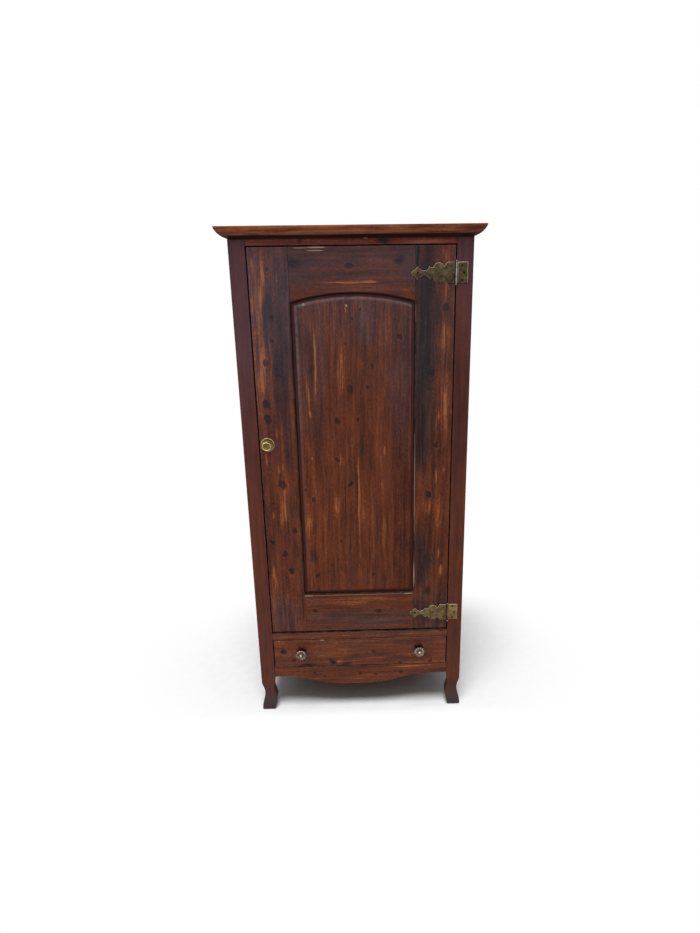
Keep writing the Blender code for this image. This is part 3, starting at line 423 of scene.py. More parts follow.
def cedar(name, axes, seed, box, palettes=STAINED, knots=(), streaks=(), stains=(), chips_and_glints=(), shift=0.0,
          warmth=0.5, cool=(), sky_sheen=(), boards=(), contrast=1.0, roughness=0.44, knot_colour=KNOT_SLATE,
          soil=0.0, shade_band=None, tint=None):
    """Knotty cedar. Axes name what lies along the grain, across it and into the plank."""
    material, net, shader = new_material(name)
    place = net.place()
    parts = dict(zip("xyz", net.split(place)))
    along, across, depth = plank_places(net, parts, axes)
    flat = net.combine(along, across, 0.0)
    drift = 0.0
    for waves, sway, seed_step in BENDS:
        drift = net.sway(net.noise(net.combine(along, across, seed * seed_step), waves), sway, drift)
    bent, core, halo = add_knots(net, flat, knots)
    swayed = net.vector("ADD", bent, net.combine(0.0, drift, 0.0))

    jump, step = seed * 1.37, 0.0
    for edge, board_shift in boards:
        over = net.math("GREATER_THAN", across, edge * MM)
        jump = net.muladd(over, BOARD_JUMP, jump)
        step = net.muladd(over, board_shift, step)
    grain = net.vector("ADD", swayed, net.combine(jump, seed * 0.61, net.times(depth, 0.6)))
    layer = {key: net.noise(grain, *look[:3]) for key, look in LAYERS.items()}
    hue = net.noise(net.vector("ADD", grain, HUE_OFFSET), HUE_WAVES, 3.0)
    comb = net.smooth(layer["line"], 0.38, 0.62)

    middle = 0.5 + shift
    lift = add_streaks(net, swayed, comb, streaks)
    tone = net.add(net.add(middle, step), lift)
    for key, look in LAYERS.items():
        tone = net.sway(layer[key], look[3] * contrast, tone)
    ring = net.times(halo, net.minus(1.0, halo))
    tone = net.muladd(ring, 0.80, net.muladd(halo, -0.20, tone))
    warm = net.sway(hue, contrast, warmth)
    warm = net.muladd(net.minus(tone, middle), 0.55, warm)
    warm = net.muladd(lift, 0.6, net.muladd(ring, 0.8, warm))
    warm = net.add(warm, add_streaks(net, swayed, comb, stains))
    # Toward the cool stain between two heights; where this grows upward it is partly painted sky reflection
    for start, end, amount in cool:
        warm = net.minus(warm, net.smooth(parts["z"], start, end, 0.0, amount))
    cool_wood, warm_wood = (net.ramp(tone, palette) for palette in palettes)
    colour = net.mix(net.smooth(warm, 0.1, 0.9), cool_wood, warm_wood)
    colour = net.mix(net.times(core, KNOT_STRENGTH), colour, (*knot_colour, 1))
    # Painted sky reflection: a bluish sheen added to the colour higher up
    for start, end, amount in sky_sheen:
        colour = net.coat(colour, SKY_SHEEN_BLUE, parts["z"], start, end, amount, "ADD")
    if tint:
        colour = tint(net, parts, colour)
    if soil:
        colour = net.coat(colour, SOIL, parts["z"], soil, 0.0, 0.9)
    # Painted shade: the colour goes near black between two heights
    if shade_band:
        colour = net.coat(colour, PAINTED_SHADE, parts["z"], *shade_band, 0.92)
    wear_and_sheen = net.smooth(edge_distance(net, place, *box), 0.0035, 0.0004)
    wear_and_sheen = net.times(wear_and_sheen, net.smooth(net.noise(place, (38, 38, 38), 3.0), 0.40, 0.66))
    colour = net.mix(net.times(wear_and_sheen, EDGE_WEAR), colour, (*CREAM, 1))
    colour = add_chips_and_glints(net, colour, flat, place, parts["y"], chips_and_glints)

    gloss = net.sway(layer["broad"], 0.16, net.sway(layer["line"], 0.22, roughness))
    gloss = net.muladd(wear_and_sheen, 0.12, gloss)
    height = net.muladd(layer["line"], 0.55, net.times(layer["fibre"], 0.45))
    height = net.muladd(core, -0.6, height)
    net.feed(shader, {"Base Color": colour, "Roughness": gloss, "Normal": net.bump(height, 0.00035, 0.55),
                      "Specular IOR Level": WOOD_SPECULAR})
    return material


def metal(name, seed, patina, roughness):
    """Aged metal: patina in patches, fine scratches and small dents."""
    material, net, shader = new_material(name)
    place = net.vector("ADD", net.place(), (seed * 0.37, seed * 0.11, seed * 0.23))
    patch = net.noise(place, (85, 85, 85), 3.0, 0.55)
    grain = net.noise(place, (900, 900, 900), 3.0, 0.6)
    brush = net.noise(place, (400, 400, 2600))
    tone = net.sway(grain, 0.35, net.sway(patch, 1.1, 0.5))
    gloss = net.sway(brush, 0.18, net.sway(patch, -0.30, roughness))
    height = net.muladd(grain, 0.5, patch)
    net.feed(shader, {"Base Color": net.ramp(tone, patina), "Roughness": gloss, "Metallic": 1.0,
                      "Normal": net.bump(height, 0.00025, 0.45)})
    return material


# Patinas of the metals from dark to light, and the places of their shades
AGED = (0.15, 0.45, 0.70, 0.95)
RICH = (0.10, 0.45, 0.75, 0.95)
BRIGHT = (0.15, 0.50, 0.90)
DULL = (0.20, 0.55, 0.90)
DARK_BRASS = shades(AGED, (16, 11, 8), (52, 38, 23), (95, 70, 40), (240, 170, 90))
WORN_BRASS = shades(AGED, (26, 16, 8), (88, 56, 24), (150, 98, 40), (360, 230, 95))
OLD_GOLD = shades(AGED, (32, 21, 12), (105, 71, 35), (185, 126, 58), (420, 290, 140))
LEAF_GOLD = shades(AGED, (50, 28, 11), (165, 98, 36), (270, 168, 60), (480, 320, 130))
GOLD_BRASS = shades(RICH, (60, 40, 15), (180, 122, 46), (330, 240, 100), (520, 410, 200))
SILVER = shades(RICH, (30, 25, 20), (135, 116, 94), (300, 268, 222), (560, 520, 450))
HOLLOW_BRASS = shades(BRIGHT, (45, 27, 8), (145, 92, 28), (280, 195, 70))
RIM_BRASS = shades(BRIGHT, (110, 84, 38), (270, 208, 95), (440, 355, 180))
POLISHED_BRASS = shades(BRIGHT, (190, 143, 58), (410, 322, 150), (620, 520, 290))
# Whitish brass of painted highlights
HIGHLIGHT_BRASS = shades(BRIGHT, (190, 150, 90), (400, 335, 220), (620, 550, 400))
STEEL = shades((0.10, 0.45, 0.90), (100, 99, 102), (200, 200, 208), (340, 344, 360))
# Dark red bronze of the knob stems, darkened and reddened as painted shade and reflection of the wood
STEM_BRONZE_AND_SHADE = shades(DULL, (16, 5, 4), (40, 12, 9), (95, 34, 22))
BLACKENED = shades(DULL, (6, 5, 5), (20, 13, 12), (55, 34, 28))


def opening_distance(net, parts):
    """Distances into the panel's opening: from its left and arched edges, and from the nearest edge."""
    x, z = parts["x"], parts["z"]
    left = net.add(x, PANEL_OPENING_HALF)
    right = net.minus(PANEL_OPENING_HALF, x)
    below = net.minus(z, PANEL_OPENING_LOW)
    reach = net.vector("LENGTH", net.combine(x, net.minus(z, ARCH_CENTRE), 0.0))
    wear_and_sheen = net.least(left, net.minus(ARCH_RADIUS, reach))
    return wear_and_sheen, net.least(wear_and_sheen, net.least(right, below))


def groove_shade(net, parts, colour):
    """Painted shade on the frame's edge round the opening, where the panel goes in."""
    inward = opening_distance(net, parts)[1]
    return net.coat(colour, PAINTED_SHADE, inward, -0.0044, -0.0022, 0.80)


def bevel_shade_and_sheen(net, parts, colour):
    """Painted shade and sheen: the bevel darkens to red by the groove and black in it; the shoulder gets a
    painted mauve sky reflection at left and top, more higher up.
    """
    wear_and_sheen, inward = opening_distance(net, parts)
    colour = net.coat(colour, BEVEL_SHADE_RED, inward, 0.0115, 0.0075, 0.70)
    colour = net.coat(colour, PAINTED_SHADE, inward, 0.0032, 0.0012, 0.85)
    patchy = net.noise(net.combine(parts["x"], 0.0, parts["z"]), (70, 70, 70), 3.0)
    shoulder = net.smooth(wear_and_sheen, 0.0095, 0.0120)
    for fade in (net.smooth(wear_and_sheen, 0.0200, 0.0155), net.smooth(inward, 0.0080, 0.0100),
                 net.smooth(parts["z"], 0.70, 1.20, 0.15, 0.75), net.smooth(patchy, 0.30, 0.62, 0.35, 1.0)):
        shoulder = net.times(shoulder, fade)
    return net.mix(shoulder, colour, (*SHEEN_MAUVE, 1))


def seam_tint(low, high):
    """Dirt in the joints between boards that stand side by side."""
    def tint(net, parts, colour):
        near = within(net, parts["x"], low.x, high.x)
        return net.coat(colour, BARE_KNOT, near, 0.0024, 0.0004, 0.85)
    return tint


# Heights of painted shade under the crown and in the gap under the door: clear, then dark
CROWN_SHADE = (crown_low + 0.0085, crown_low + 0.0048)
UNDER_CROWN_SHADE = (crown_low - 0.0045, crown_low - 0.0015)
MID_RAIL_SHADE = (0.2842, 0.2874)
DOOR_FOOT_SHADE = (0.2962, 0.2935)
# Looks of the planks in front. Cool and sky sheen: height where it starts, height where it is full, amount.
# Sky sheen is a painted bluish reflection of the sky, added higher up; cool, where it grows upward, is partly
# painted sky reflection as well. Knots: along, across, radius. Streaks, stains, and chips and glints: start
# along and across, end along and across, half width, and how much lighter, warmer or barer than the wood
# round them.
FRONT_PLANKS = {
    "post_front_left": dict(
        axes="zxy", seed=1, palettes=MAROON, contrast=0.45, shift=0.055, warmth=0.64,
        cool=((0.85, 1.35, 0.65),), soil=0.12, shade_band=UNDER_CROWN_SHADE,
    ),
    "post_front_right": dict(
        axes="zxy", seed=2, palettes=MAROON, contrast=0.50, shift=0.03, warmth=0.72,
        cool=((1.05, 1.42, 0.45),), soil=0.12, shade_band=UNDER_CROWN_SHADE,
        streaks=((760, 305, 1200, 305, 40, -0.12),),
    ),
    "top_rail": dict(
        axes="xzy", seed=3, palettes=RED, contrast=0.9, shift=0.07, warmth=0.66, shade_band=UNDER_CROWN_SHADE,
        knots=((-136, 1466, 6), (86, 1464, 7)),
        streaks=(
            (60, 1466, 112, 1465, 6, -0.45), (105, 1464, 300, 1462, 5, 0.26),
            (-150, 1470, -120, 1470, 5, -0.4),
        ),
        chips_and_glints=((28, 1472, 46, 1471, 1.2, 0.6),),
    ),
    "mid_rail": dict(
        axes="xzy", seed=4, shift=0.10, contrast=0.8, warmth=0.46, shade_band=MID_RAIL_SHADE,
        knots=((263, 284, 5),),
    ),
    "apron": dict(
        axes="xzy", seed=5, shift=0.04, contrast=0.8, warmth=0.60,
        knots=((-151, 135, 5), (-119, 122, 5), (-2, 130, 6), (48, 126, 5), (132, 130, 6)),
        streaks=((77, 154, 300, 154, 3, 0.50),),
    ),
    "crown_front": dict(
        axes="xzy", seed=6, palettes=ORANGE, shift=0.24, contrast=1.35, warmth=1.1, shade_band=CROWN_SHADE,
    ),
    "door_stile_left": dict(
        axes="zxy", seed=7, palettes=PLUM, shift=0.01, warmth=0.66, cool=((0.80, 1.30, 0.26),),
        sky_sheen=((0.70, 1.05, 0.6), (1.0, 1.3, 1.0)), shade_band=DOOR_FOOT_SHADE, tint=groove_shade,
        knots=(
            (1149, -247, 8), (1032, -253, 10), (990, -251, 10), (1271, -223, 6), (1210, -226, 5),
            (1397, -228, 5), (790, -220, 11), (641, -192, 8), (565, -225, 8), (507, -208, 9),
            (605, -261, 6),
        ),
        streaks=(
            (1375, -263, 1430, -263, 4, 0.30), (1257, -247, 1435, -239, 7, 0.36),
            (1185, -271, 1250, -268, 5, 0.35), (1343, -203, 1392, -202, 4, 0.28),
            (1190, -228, 1400, -226, 9, -0.16), (1080, -215, 1200, -212, 13, -0.12),
            (1040, -258, 1170, -254, 12, 0.10), (880, -202, 1450, -206, 26, -0.12),
            (925, -230, 972, -228, 5, 0.25), (820, -227, 862, -224, 8, 0.30),
            (843, -263, 892, -263, 4, 0.40), (645, -225, 782, -220, 13, 0.30),
            (676, -252, 706, -252, 4, 0.35), (434, -254, 540, -262, 5, 0.30),
            (376, -226, 440, -222, 6, 0.25), (1000, -257, 1470, -262, 13, 0.17),
            (1266, -271, 1344, -268, 4, 0.22), (800, -190, 960, -190, 16, -0.16),
        ),
        stains=((270, -240, 430, -230, 46, -0.55), (1150, -200, 1450, -204, 34, -0.25)),
    ),
    "door_stile_right": dict(
        axes="zxy", seed=8, warmth=0.75, cool=((0.47, 0.38, 0.35),), sky_sheen=((0.85, 1.25, 1.0),),
        shade_band=DOOR_FOOT_SHADE, tint=groove_shade,
        knots=((1117, 218, 10), (903, 235, 7), (750, 215, 8), (1292, 255, 9)),
        streaks=(
            (760, 192, 1800, 196, 30, -0.28), (400, 204, 670, 206, 24, -0.28),
            (1409, 248, 1450, 250, 11, 0.10), (1298, 250, 1360, 252, 11, 0.10),
            (1160, 254, 1265, 254, 16, 0.18), (900, 253, 1165, 256, 18, 0.18),
            (974, 243, 1010, 243, 3, 0.50), (1029, 256, 1058, 256, 3, 0.45), (994, 274, 1006, 274, 3, 0.40),
            (782, 238, 830, 238, 3, 0.55), (816, 258, 838, 258, 3, 0.45), (587, 251, 766, 251, 20, 0.18),
            (680, 215, 745, 214, 12, 0.30), (532, 250, 580, 250, 4, 0.50), (474, 256, 522, 257, 4, 0.45),
            (410, 218, 448, 218, 12, -0.30), (1385, 175, 1462, 177, 3, -0.90),
            (280, 205, 420, 205, 26, -0.26), (285, 250, 400, 252, 22, -0.14),
            (1240, 240, 1330, 240, 24, -0.12), (800, 194, 990, 196, 24, -0.24),
            (470, 270, 580, 272, 12, 0.16),
        ),
        stains=(
            (780, 196, 1330, 198, 28, -0.65), (410, 202, 650, 204, 24, -0.60),
            (1060, 268, 1230, 270, 16, 0.45), (1230, 250, 1340, 252, 26, -0.30),
        ),
        chips_and_glints=(
            (424, 172.6, 545, 172.6, 1.2, 0.70), (540, 172.6, 1010, 172.6, 0.9, 0.45),
            (1240, 172.6, 1312, 172.6, 0.7, 0.25),
        ),
    ),
    "door_rail_top": dict(
        axes="xzy", seed=9, palettes=PLUM, shift=-0.03, contrast=0.62, warmth=0.74,
        cool=((1.30, 1.42, 0.42),), sky_sheen=((1.28, 1.42, 1.5),), tint=groove_shade, knots=((-8, 1403, 8),),
        streaks=(
            (-190, 1412, -132, 1410, 13, -0.30), (108, 1416, 146, 1416, 12, -0.35),
            (-106, 1360, 83, 1360, 4, 0.32), (25, 1361, 70, 1360, 3, 0.42), (-95, 1343, 120, 1342, 7, 0.22),
            (128, 1334, 160, 1330, 9, 0.20),
        ),
        stains=((-190, 1408, -110, 1404, 34, -0.65), (122, 1408, 190, 1408, 34, -0.75)),
        chips_and_glints=(
            (-128, 1450, -58, 1450, 1.5, 0.75), (-130, 1442, -62, 1442, 1.2, 0.60),
            (-168, 1449, -106, 1449, 1.0, 0.45),
        ),
    ),
    "door_rail_bottom": dict(
        axes="xzy", seed=10, shift=0.05, contrast=0.8, warmth=0.75, shade_band=DOOR_FOOT_SHADE, tint=groove_shade,
        knots=((-141, 365, 7), (61, 359, 8)), streaks=((-165, 402, 165, 400, 12, 0.18),),
        stains=((-260, 336, 260, 334, 30, -0.65), (-185, 400, -110, 396, 20, -0.40)),
        # Pale line along the rail's upper arris: worn stain, and partly a painted highlight of the sky
        chips_and_glints=(
            (-178, 419.6, -138, 419.6, 1.1, 0.70), (-290, 419.6, 290, 419.6, 0.75, 0.45),
            (132, 419.6, 178, 419.6, 1.1, 0.80),
        ),
    ),
    "drawer_front": dict(
        axes="xzy", seed=12, shift=0.115, contrast=0.85, warmth=0.57,
        knots=((-251, 221, 6), (-218, 186, 6), (44, 211, 6), (129, 165, 5), (228, 170, 6)),
        streaks=(
            (-205, 168, -138, 167, 8, -0.60), (-104, 196, -84, 174, 6, -0.60),
            (-98, 170, -74, 188, 5, -0.50), (-66, 166, -28, 176, 6, -0.55), (-84, 180, -56, 192, 6, 0.30),
            (-262, 226, -236, 218, 9, -0.35), (-150, 205, -60, 200, 4, 0.25), (0, 190, 120, 196, 4, 0.20),
            (100, 205, 200, 200, 5, 0.20),
        ),
        chips_and_glints=((-266, 258, -258, 258, 1.5, 0.5), (-134, 258, -113, 258, 1.5, 0.6)),
    ),
}
# The panel's look. Boards: the place across where each next board starts, and how much lighter it is.
# The box lies clear of the panel, so that no edge of it is worn.
PANEL_LOOK = dict(
    axes="zxy", seed=11, box=(Vector((-1, -1, 0)), Vector((1, 1, 2))), palettes=PLUM, shift=0.02,
    contrast=0.84, warmth=0.80, cool=((0.98, 1.30, 0.34),), tint=bevel_shade_and_sheen,
    sky_sheen=((0.78, 1.25, 0.4), (1.15, 1.32, 0.6)), boards=((-66, -0.02), (4, 0.02), (108, -0.10)),
    knots=(
        (1290, 19, 4), (1215, 128, 7), (1134, 51, 5), (1075, 37, 5), (1264, -3, 4), (1198, -24, 4),
        (979, -51, 8), (982, 7, 5), (863, -54, 6), (772, -153, 4), (740, -130, 6), (603, -51, 4),
        (488, -128, 7), (488, 47, 5), (511, -52, 3),
    ),
    streaks=(
        (1030, -111, 1300, -112, 2.6, 0.50), (985, -131, 1120, -137, 4.6, 0.46),
        (1280, -18, 1304, -18, 4, 0.45), (491, 8, 943, 5, 2.6, 0.34), (872, 85, 906, 85, 5, 0.25),
        (540, 81, 706, 81, 7, 0.22), (900, -118, 1010, -116, 22, -0.07), (1037, 132, 1178, 132, 18, 0.10),
        (1041, -40, 1222, -34, 14, 0.22), (674, -60, 770, -60, 7, 0.20), (633, -140, 705, -140, 9, 0.22),
        (840, -46, 882, -44, 14, 0.22), (775, -26, 797, -10, 4, -0.40), (985, -122, 1012, -132, 6, 0.30),
        (530, -140, 584, -140, 10, -0.28), (1050, -11, 1086, -11, 9, -0.25),
        (1180, -60, 1320, -60, 60, 0.07), (880, -98, 1060, -96, 26, -0.05),
        (800, 130, 1010, 130, 22, -0.06), (800, 38, 960, 40, 36, -0.09), (1150, 20, 1260, 22, 16, -0.10),
    ),
    stains=(
        (850, -118, 1290, -122, 40, -0.30), (820, 136, 1290, 138, 36, -0.55),
        (1170, 36, 1330, 34, 26, -0.50), (860, -10, 1240, -14, 46, 0.25),
    ),
    chips_and_glints=(
        (861, -129, 875, -129, 3, 0.12), (1294, -18, 1306, -18, 2.0, 0.7), (1298, -135, 1310, -134, 3, 0.4),
    ),
)
# Planks that the photograph doesn't show: axes, knots, warmth or None for bare wood.
# Each has the next seed.
OTHER_PLANKS = (
    (("post_back_left", "post_back_right"), "zxy", 2, 0.6),
    (("side_rail_top_left", "side_rail_top_right"), "yzx", 1, 0.6),
    (("side_rail_bottom_left", "side_rail_bottom_right"), "yzx", 1, 0.6),
    (("side_panel_left", "side_panel_right"), "zyx", 9, 0.6),
    (("crown_left", "crown_right"), "yzx", 0, 1.0),
    (("top_panel",), "xyz", 5, 0.8),
    (("back_rail_top", "back_rail_middle", "back_rail_bottom"), "xzy", 2, None),
    (("back_board_1",), "zxy", 5, None),
    (("back_board_2",), "zxy", 4, None),
    (("back_board_3",), "zxy", 6, None),
    (("back_board_4",), "zxy", 4, None),
    (("back_board_5",), "zxy", 5, None),
    (("floor_panel",), "xyz", 6, None),
    (("door_stop",), "xzy", 1, None),
    (("hanging_rod",), "xzy", 0, None),
    (("drawer_runner_left", "drawer_runner_right"), "yzx", 0, None),
    (("drawer_side_left", "drawer_side_right"), "yzx", 2, None),
    (("drawer_back",), "xzy", 3, None),
    (("drawer_bottom",), "xyz", 5, None),
)
FIRST_OTHER_SEED = 20
# Rounds on the edges of the planks whose edges show
CROWN_ARRIS = 0.0007
ROUNDED_PLANKS = ("crown", "back_board", "floor", "drawer_runner")
PLANK_ARRIS = 0.0006
SHARP_DEGREES = 40


def scattered(node, axes, count, seed):
    """Knots at chance places of a plank that the photograph doesn't show."""
    chance = random.Random(seed)
    low, high = (dict(zip("xyz", corner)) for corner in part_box(node))
    places = []
    for i in range(count):
        along, across = (chance.uniform(low[letter], high[letter]) / MM for letter in axes[:2])
        places.append((along, across, chance.uniform(4, 9)))
    return places


def settle_group():
    """Geometry nodes that join a solid's facets and shade them smooth, apart from sharp edges."""
    group = bpy.data.node_groups.new("settle_facets", "GeometryNodeTree")
    for way in ("INPUT", "OUTPUT"):
        group.interface.new_socket("Geometry", in_out=way, socket_type="NodeSocketGeometry")
    net = Net(group)
    start = net.put("NodeGroupInput").outputs[0]
    plain = net.put("GeometryNodeRemoveAttribute", {0: start, "Name": "custom_normal"}).outputs[0]
    joined = net.put("GeometryNodeMergeByDistance", {0: plain, "Distance": 0.00001}).outputs[0]
    shading = "GeometryNodeSetShadeSmooth"
    smooth = net.put(shading, {0: joined, "Shade Smooth": True}, domain="FACE").outputs[0]
    angle = net.put("GeometryNodeInputMeshEdgeAngle").outputs["Unsigned Angle"]
    sharp = math.radians(SHARP_DEGREES)
    soft = net.put("FunctionNodeCompare", {0: angle, 1: sharp}, operation="LESS_THAN").outputs[0]
    done = net.put(shading, {0: smooth, "Shade Smooth": soft}, domain="EDGE").outputs[0]
    net.put("NodeGroupOutput", {0: done})
    return group


SETTLE = settle_group()


def dress(node, material, edge=0.0):
    """Give a CAD node its finish, smooth shading and, if asked, a fine round on its sharp edges."""
    piece = nodes[node]
    piece.data.materials.clear()
    piece.data.materials.append(material)
    piece.modifiers.new("settle", "NODES").node_group = SETTLE
    if edge:
        flat = piece.modifiers.new("flat_faces", "DECIMATE")
        flat.decimate_type = "DISSOLVE"
        flat.angle_limit = math.radians(0.5)
        rounding = piece.modifiers.new("arris", "BEVEL")
        rounding.width = edge
        rounding.segments = 2
        rounding.limit_method = "ANGLE"
        rounding.angle_limit = math.radians(SHARP_DEGREES)
    piece.modifiers.new("normals", "WEIGHTED_NORMAL").keep_sharp = True


def dress_wood():
    """Every plank has a finish of its own, so that no two show the same grain."""
    for node, look in FRONT_PLANKS.items():
        edge = CROWN_ARRIS if node.startswith("crown") else 0.0
        dress(node, cedar("cedar_" + node, box=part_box(node), **look), edge)
    rows = [(node, *row[1:]) for row in OTHER_PLANKS for node in row[0]]
    for seed, (node, axes, count, warmth) in enumerate(rows, FIRST_OTHER_SEED):
        if warmth is None:
            look = dict(palettes=BARE, knot_colour=BARE_KNOT, roughness=0.62)
            look["shift"] = random.Random(seed).uniform(-0.07, 0.07)
            if node.startswith("back_board"):
                look["tint"] = seam_tint(*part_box(node))
        else:
            look = dict(warmth=warmth, soil=0.10 if node.startswith("post") else 0.0)
        knots = scattered(node, axes, count, seed)
        finish = cedar("cedar_" + node, axes, seed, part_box(node), knots=knots, contrast=0.85, **look)
        dress(node, finish, PLANK_ARRIS if node.startswith(ROUNDED_PLANKS) else 0.0)


def new_object(name, data):
    """An object in the scene."""
    made = bpy.data.objects.new(name, data)
    bpy.context.scene.collection.objects.link(made)
    return made


def new_mesh(name, bm):
    """A mesh of what was built, which is then let go."""
    mesh = bpy.data.meshes.new(name)
    bm.to_mesh(mesh)
    bm.free()
    return mesh


def shade(mesh, sharp_degrees):
    """Smooth faces, apart from sharp edges."""
    mesh.shade_smooth()
    mesh.set_sharp_from_angle(angle=math.radians(sharp_degrees))


def place_on(piece, body, replaced=()):
    """Set a piece on the body that it rides on and the nodes that it stands for."""
    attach(piece, body)
    if replaced:
        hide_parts(*replaced)


def add_object(name, bm, body, materials, replaced=(), sharp=SHARP_DEGREES):
    """A piece of the visual model, made in world places."""
    mesh = new_mesh(name, bm)
    shade(mesh, sharp)
    for material in materials:
        mesh.materials.append(material)
    piece = new_object(name, mesh)
    place_on(piece, body, replaced)
    return piece


def skin(bm, rings, material=0):
    """A closed form: faces between rings of points, and one on each end. A ring of one point is a tip."""
    loops = [[bm.verts.new(point) for point in ring] for ring in rings]
    faces = []
    for lower, upper in zip(loops, loops[1:]):
        count = max(len(lower), len(upper))
        for i in range(count):
            j = (i + 1) % count
            corners = [lower[i % len(lower)], lower[j % len(lower)]]
            corners += [upper[j % len(upper)], upper[i % len(upper)]]
            faces.append(bm.faces.new(list(dict.fromkeys(corners))))
    faces += [bm.faces.new(loop) for loop in (loops[0], loops[-1]) if len(loop) > 2]
    for face in faces:
        face.material_index = material
    bmesh.ops.recalc_face_normals(bm, faces=faces)
    return faces


def turned(bm, profile, centre, along=AHEAD, sides=48, material=0):
    """A round form about an axis: profile points are radius and distance along the axis."""
    along = Vector(along)
    across = Vector((0, 0, 1)) if abs(along.z) < 0.5 else Vector((1, 0, 0))
    third = along.cross(across)
    turns = [2 * math.pi * k / sides for k in range(sides)]
    rings = []
    for radius, distance in profile:
        base = Vector(centre) + along * distance
        if radius < 1e-7:
            rings.append([base])
        else:
            rings.append([base + radius * (math.cos(a) * across + math.sin(a) * third) for a in turns])
    return skin(bm, rings, material)


def filleted(points, radius, steps=4):
    """A profile with its inner corners rounded."""
    result = [points[0]]
    for before, corner, after in zip(points, points[1:], points[2:]):
        corner = Vector(corner)
        back, ahead = Vector(before) - corner, Vector(after) - corner
        reach = min(radius, back.length * 0.45, ahead.length * 0.45)
        start, end = corner + back.normalized() * reach, corner + ahead.normalized() * reach
        for i in range(steps + 1):
            t = i / steps
            result.append(tuple((1 - t) ** 2 * start + 2 * t * (1 - t) * corner + t ** 2 * end))
    result.append(points[-1])
    return result


def arc(start, end, bulge, steps):
    """Points after start up to end, on an arc that stands out by bulge to the left of the way there."""
    start, end = Vector(start), Vector(end)
    chord = end - start
    if not bulge:
        return [tuple(end)]
    half_turn = 2 * math.atan2(abs(bulge), chord.length / 2)
    radius = chord.length / 2 / math.sin(half_turn)
    side = Vector((-chord.y, chord.x)).normalized() * math.copysign(1, bulge)
    centre = (start + end) / 2 + side * (abs(bulge) - radius)
    forward = chord.normalized()
    points = []
    for i in range(1, steps + 1):
        angle = half_turn * (2 * i / steps - 1)
        points.append(tuple(centre + radius * (side * math.cos(angle) + forward * math.sin(angle))))
    return points


def carve(piece, bm, name):
    """Cut a mesh out of a piece for good."""
    cutter = new_object(name, new_mesh(name, bm))
    cut = piece.modifiers.new(name, "BOOLEAN")
    cut.object = cutter
    cut.solver = "EXACT"
    bpy.context.view_layer.update()
    evaluated = piece.evaluated_get(bpy.context.evaluated_depsgraph_get())
    piece.data = bpy.data.meshes.new_from_object(evaluated)
    piece.modifiers.clear()
    bpy.data.objects.remove(cutter)


def panel_ring(grow, y):
    """Outline of the panel's opening, grown outward by so much."""
    half, reach = PANEL_OPENING_HALF + grow, ARCH_RADIUS + grow
    spring = math.asin(half / reach)
    points = [(-half, y, PANEL_OPENING_LOW - grow), (half, y, PANEL_OPENING_LOW - grow)]
    for i in range(PANEL_ARCH_STEPS + 1):
        angle = spring * (1 - 2 * i / PANEL_ARCH_STEPS)
        points.append((reach * math.sin(angle), y, ARCH_CENTRE + reach * math.cos(angle)))
    return points


def raised_panel():
    """Panel with an arched top: a bevel that falls to the groove, and a rounded shoulder to the field."""
    low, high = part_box("door_panel")
    tongue, tongue_y = high.x - PANEL_OPENING_HALF, low.y + PANEL_TONGUE_BACK
    foot, rise = PANEL_BEVEL - PANEL_SHOULDER, PANEL_SHOULDER_RISE
    profile = [(tongue, high.y), (tongue, tongue_y), (-SEAT, tongue_y), (-foot, low.y + rise)]
    for i in range(1, PANEL_SHOULDER_STEPS + 1):
        angle = math.pi / 2 * i / PANEL_SHOULDER_STEPS
        inward = foot + PANEL_SHOULDER * (1 - math.cos(angle))
        profile.append((-inward, low.y + rise * (1 - math.sin(angle))))
    bm = bmesh.new()
    skin(bm, [panel_ring(grow, y) for grow, y in profile])
    finish = cedar("cedar_door_panel", **PANEL_LOOK)
    add_object("raised_panel", bm, "door", [finish], ["door_panel"], sharp=50)


def plate(bm, outline, edge):
    """A hinge's flat plate in X and Z; its rounded front edges: painted highlight above, painted shade below.
    """
    faces = skin(bm, [[(x, y, z) for x, z in outline] for y in (leaf_back, leaf_front)])
    rim = [e for f in faces for e in f.edges
           if all(abs(v.co.y - leaf_front) < 1e-6 for v in e.verts) and e.calc_face_angle(0.0) > 0.5]
    rounded = bmesh.ops.bevel(bm, geom=list(dict.fromkeys(rim)), offset=edge, segments=3, profile=0.5,
                              affect="EDGES", clamp_overlap=True)
    for face in rounded["faces"]:
        face.normal_update()
        face.material_index = LIT_EDGE if face.normal.z > -0.25 else SHADED


def strap_outline(z):
    """Outline of the ornamental strap in X and Z, pointing away from the knuckle along -X."""
    half = HINGE_HEIGHT / 2
    upper = [(KNUCKLE_RADIUS + KNUCKLE_CLEAR, half)]
    for share_out, share_up, bulge in STRAP_SHAPE:
        target = (share_out * STRAP_LENGTH, share_up * half)
        length = (Vector(target) - Vector(upper[-1])).length
        upper += arc(upper[-1], target, bulge * length, STRAP_ARC_STEPS)
    lower = [(out, -up) for out, up in reversed(upper[:-1])]
    return [(axis_x - out, z + up) for out, up in upper + lower]


def barrel(bm, z, low, high):
    """One knuckle, a rounded tube about the pin: its front in the knuckle's material, its sides painted
    shade.
    """
    profile = [(0.0, low), (KNUCKLE_RADIUS, low), (KNUCKLE_RADIUS, high), (0.0, high)]
    for face in turned(bm, filleted(profile, KNUCKLE_ROUND), (axis_x, axis_y, z), (0, 0, 1), 32):
        face.material_index = KNUCKLE if face.normal.y < -0.86 else SHADED


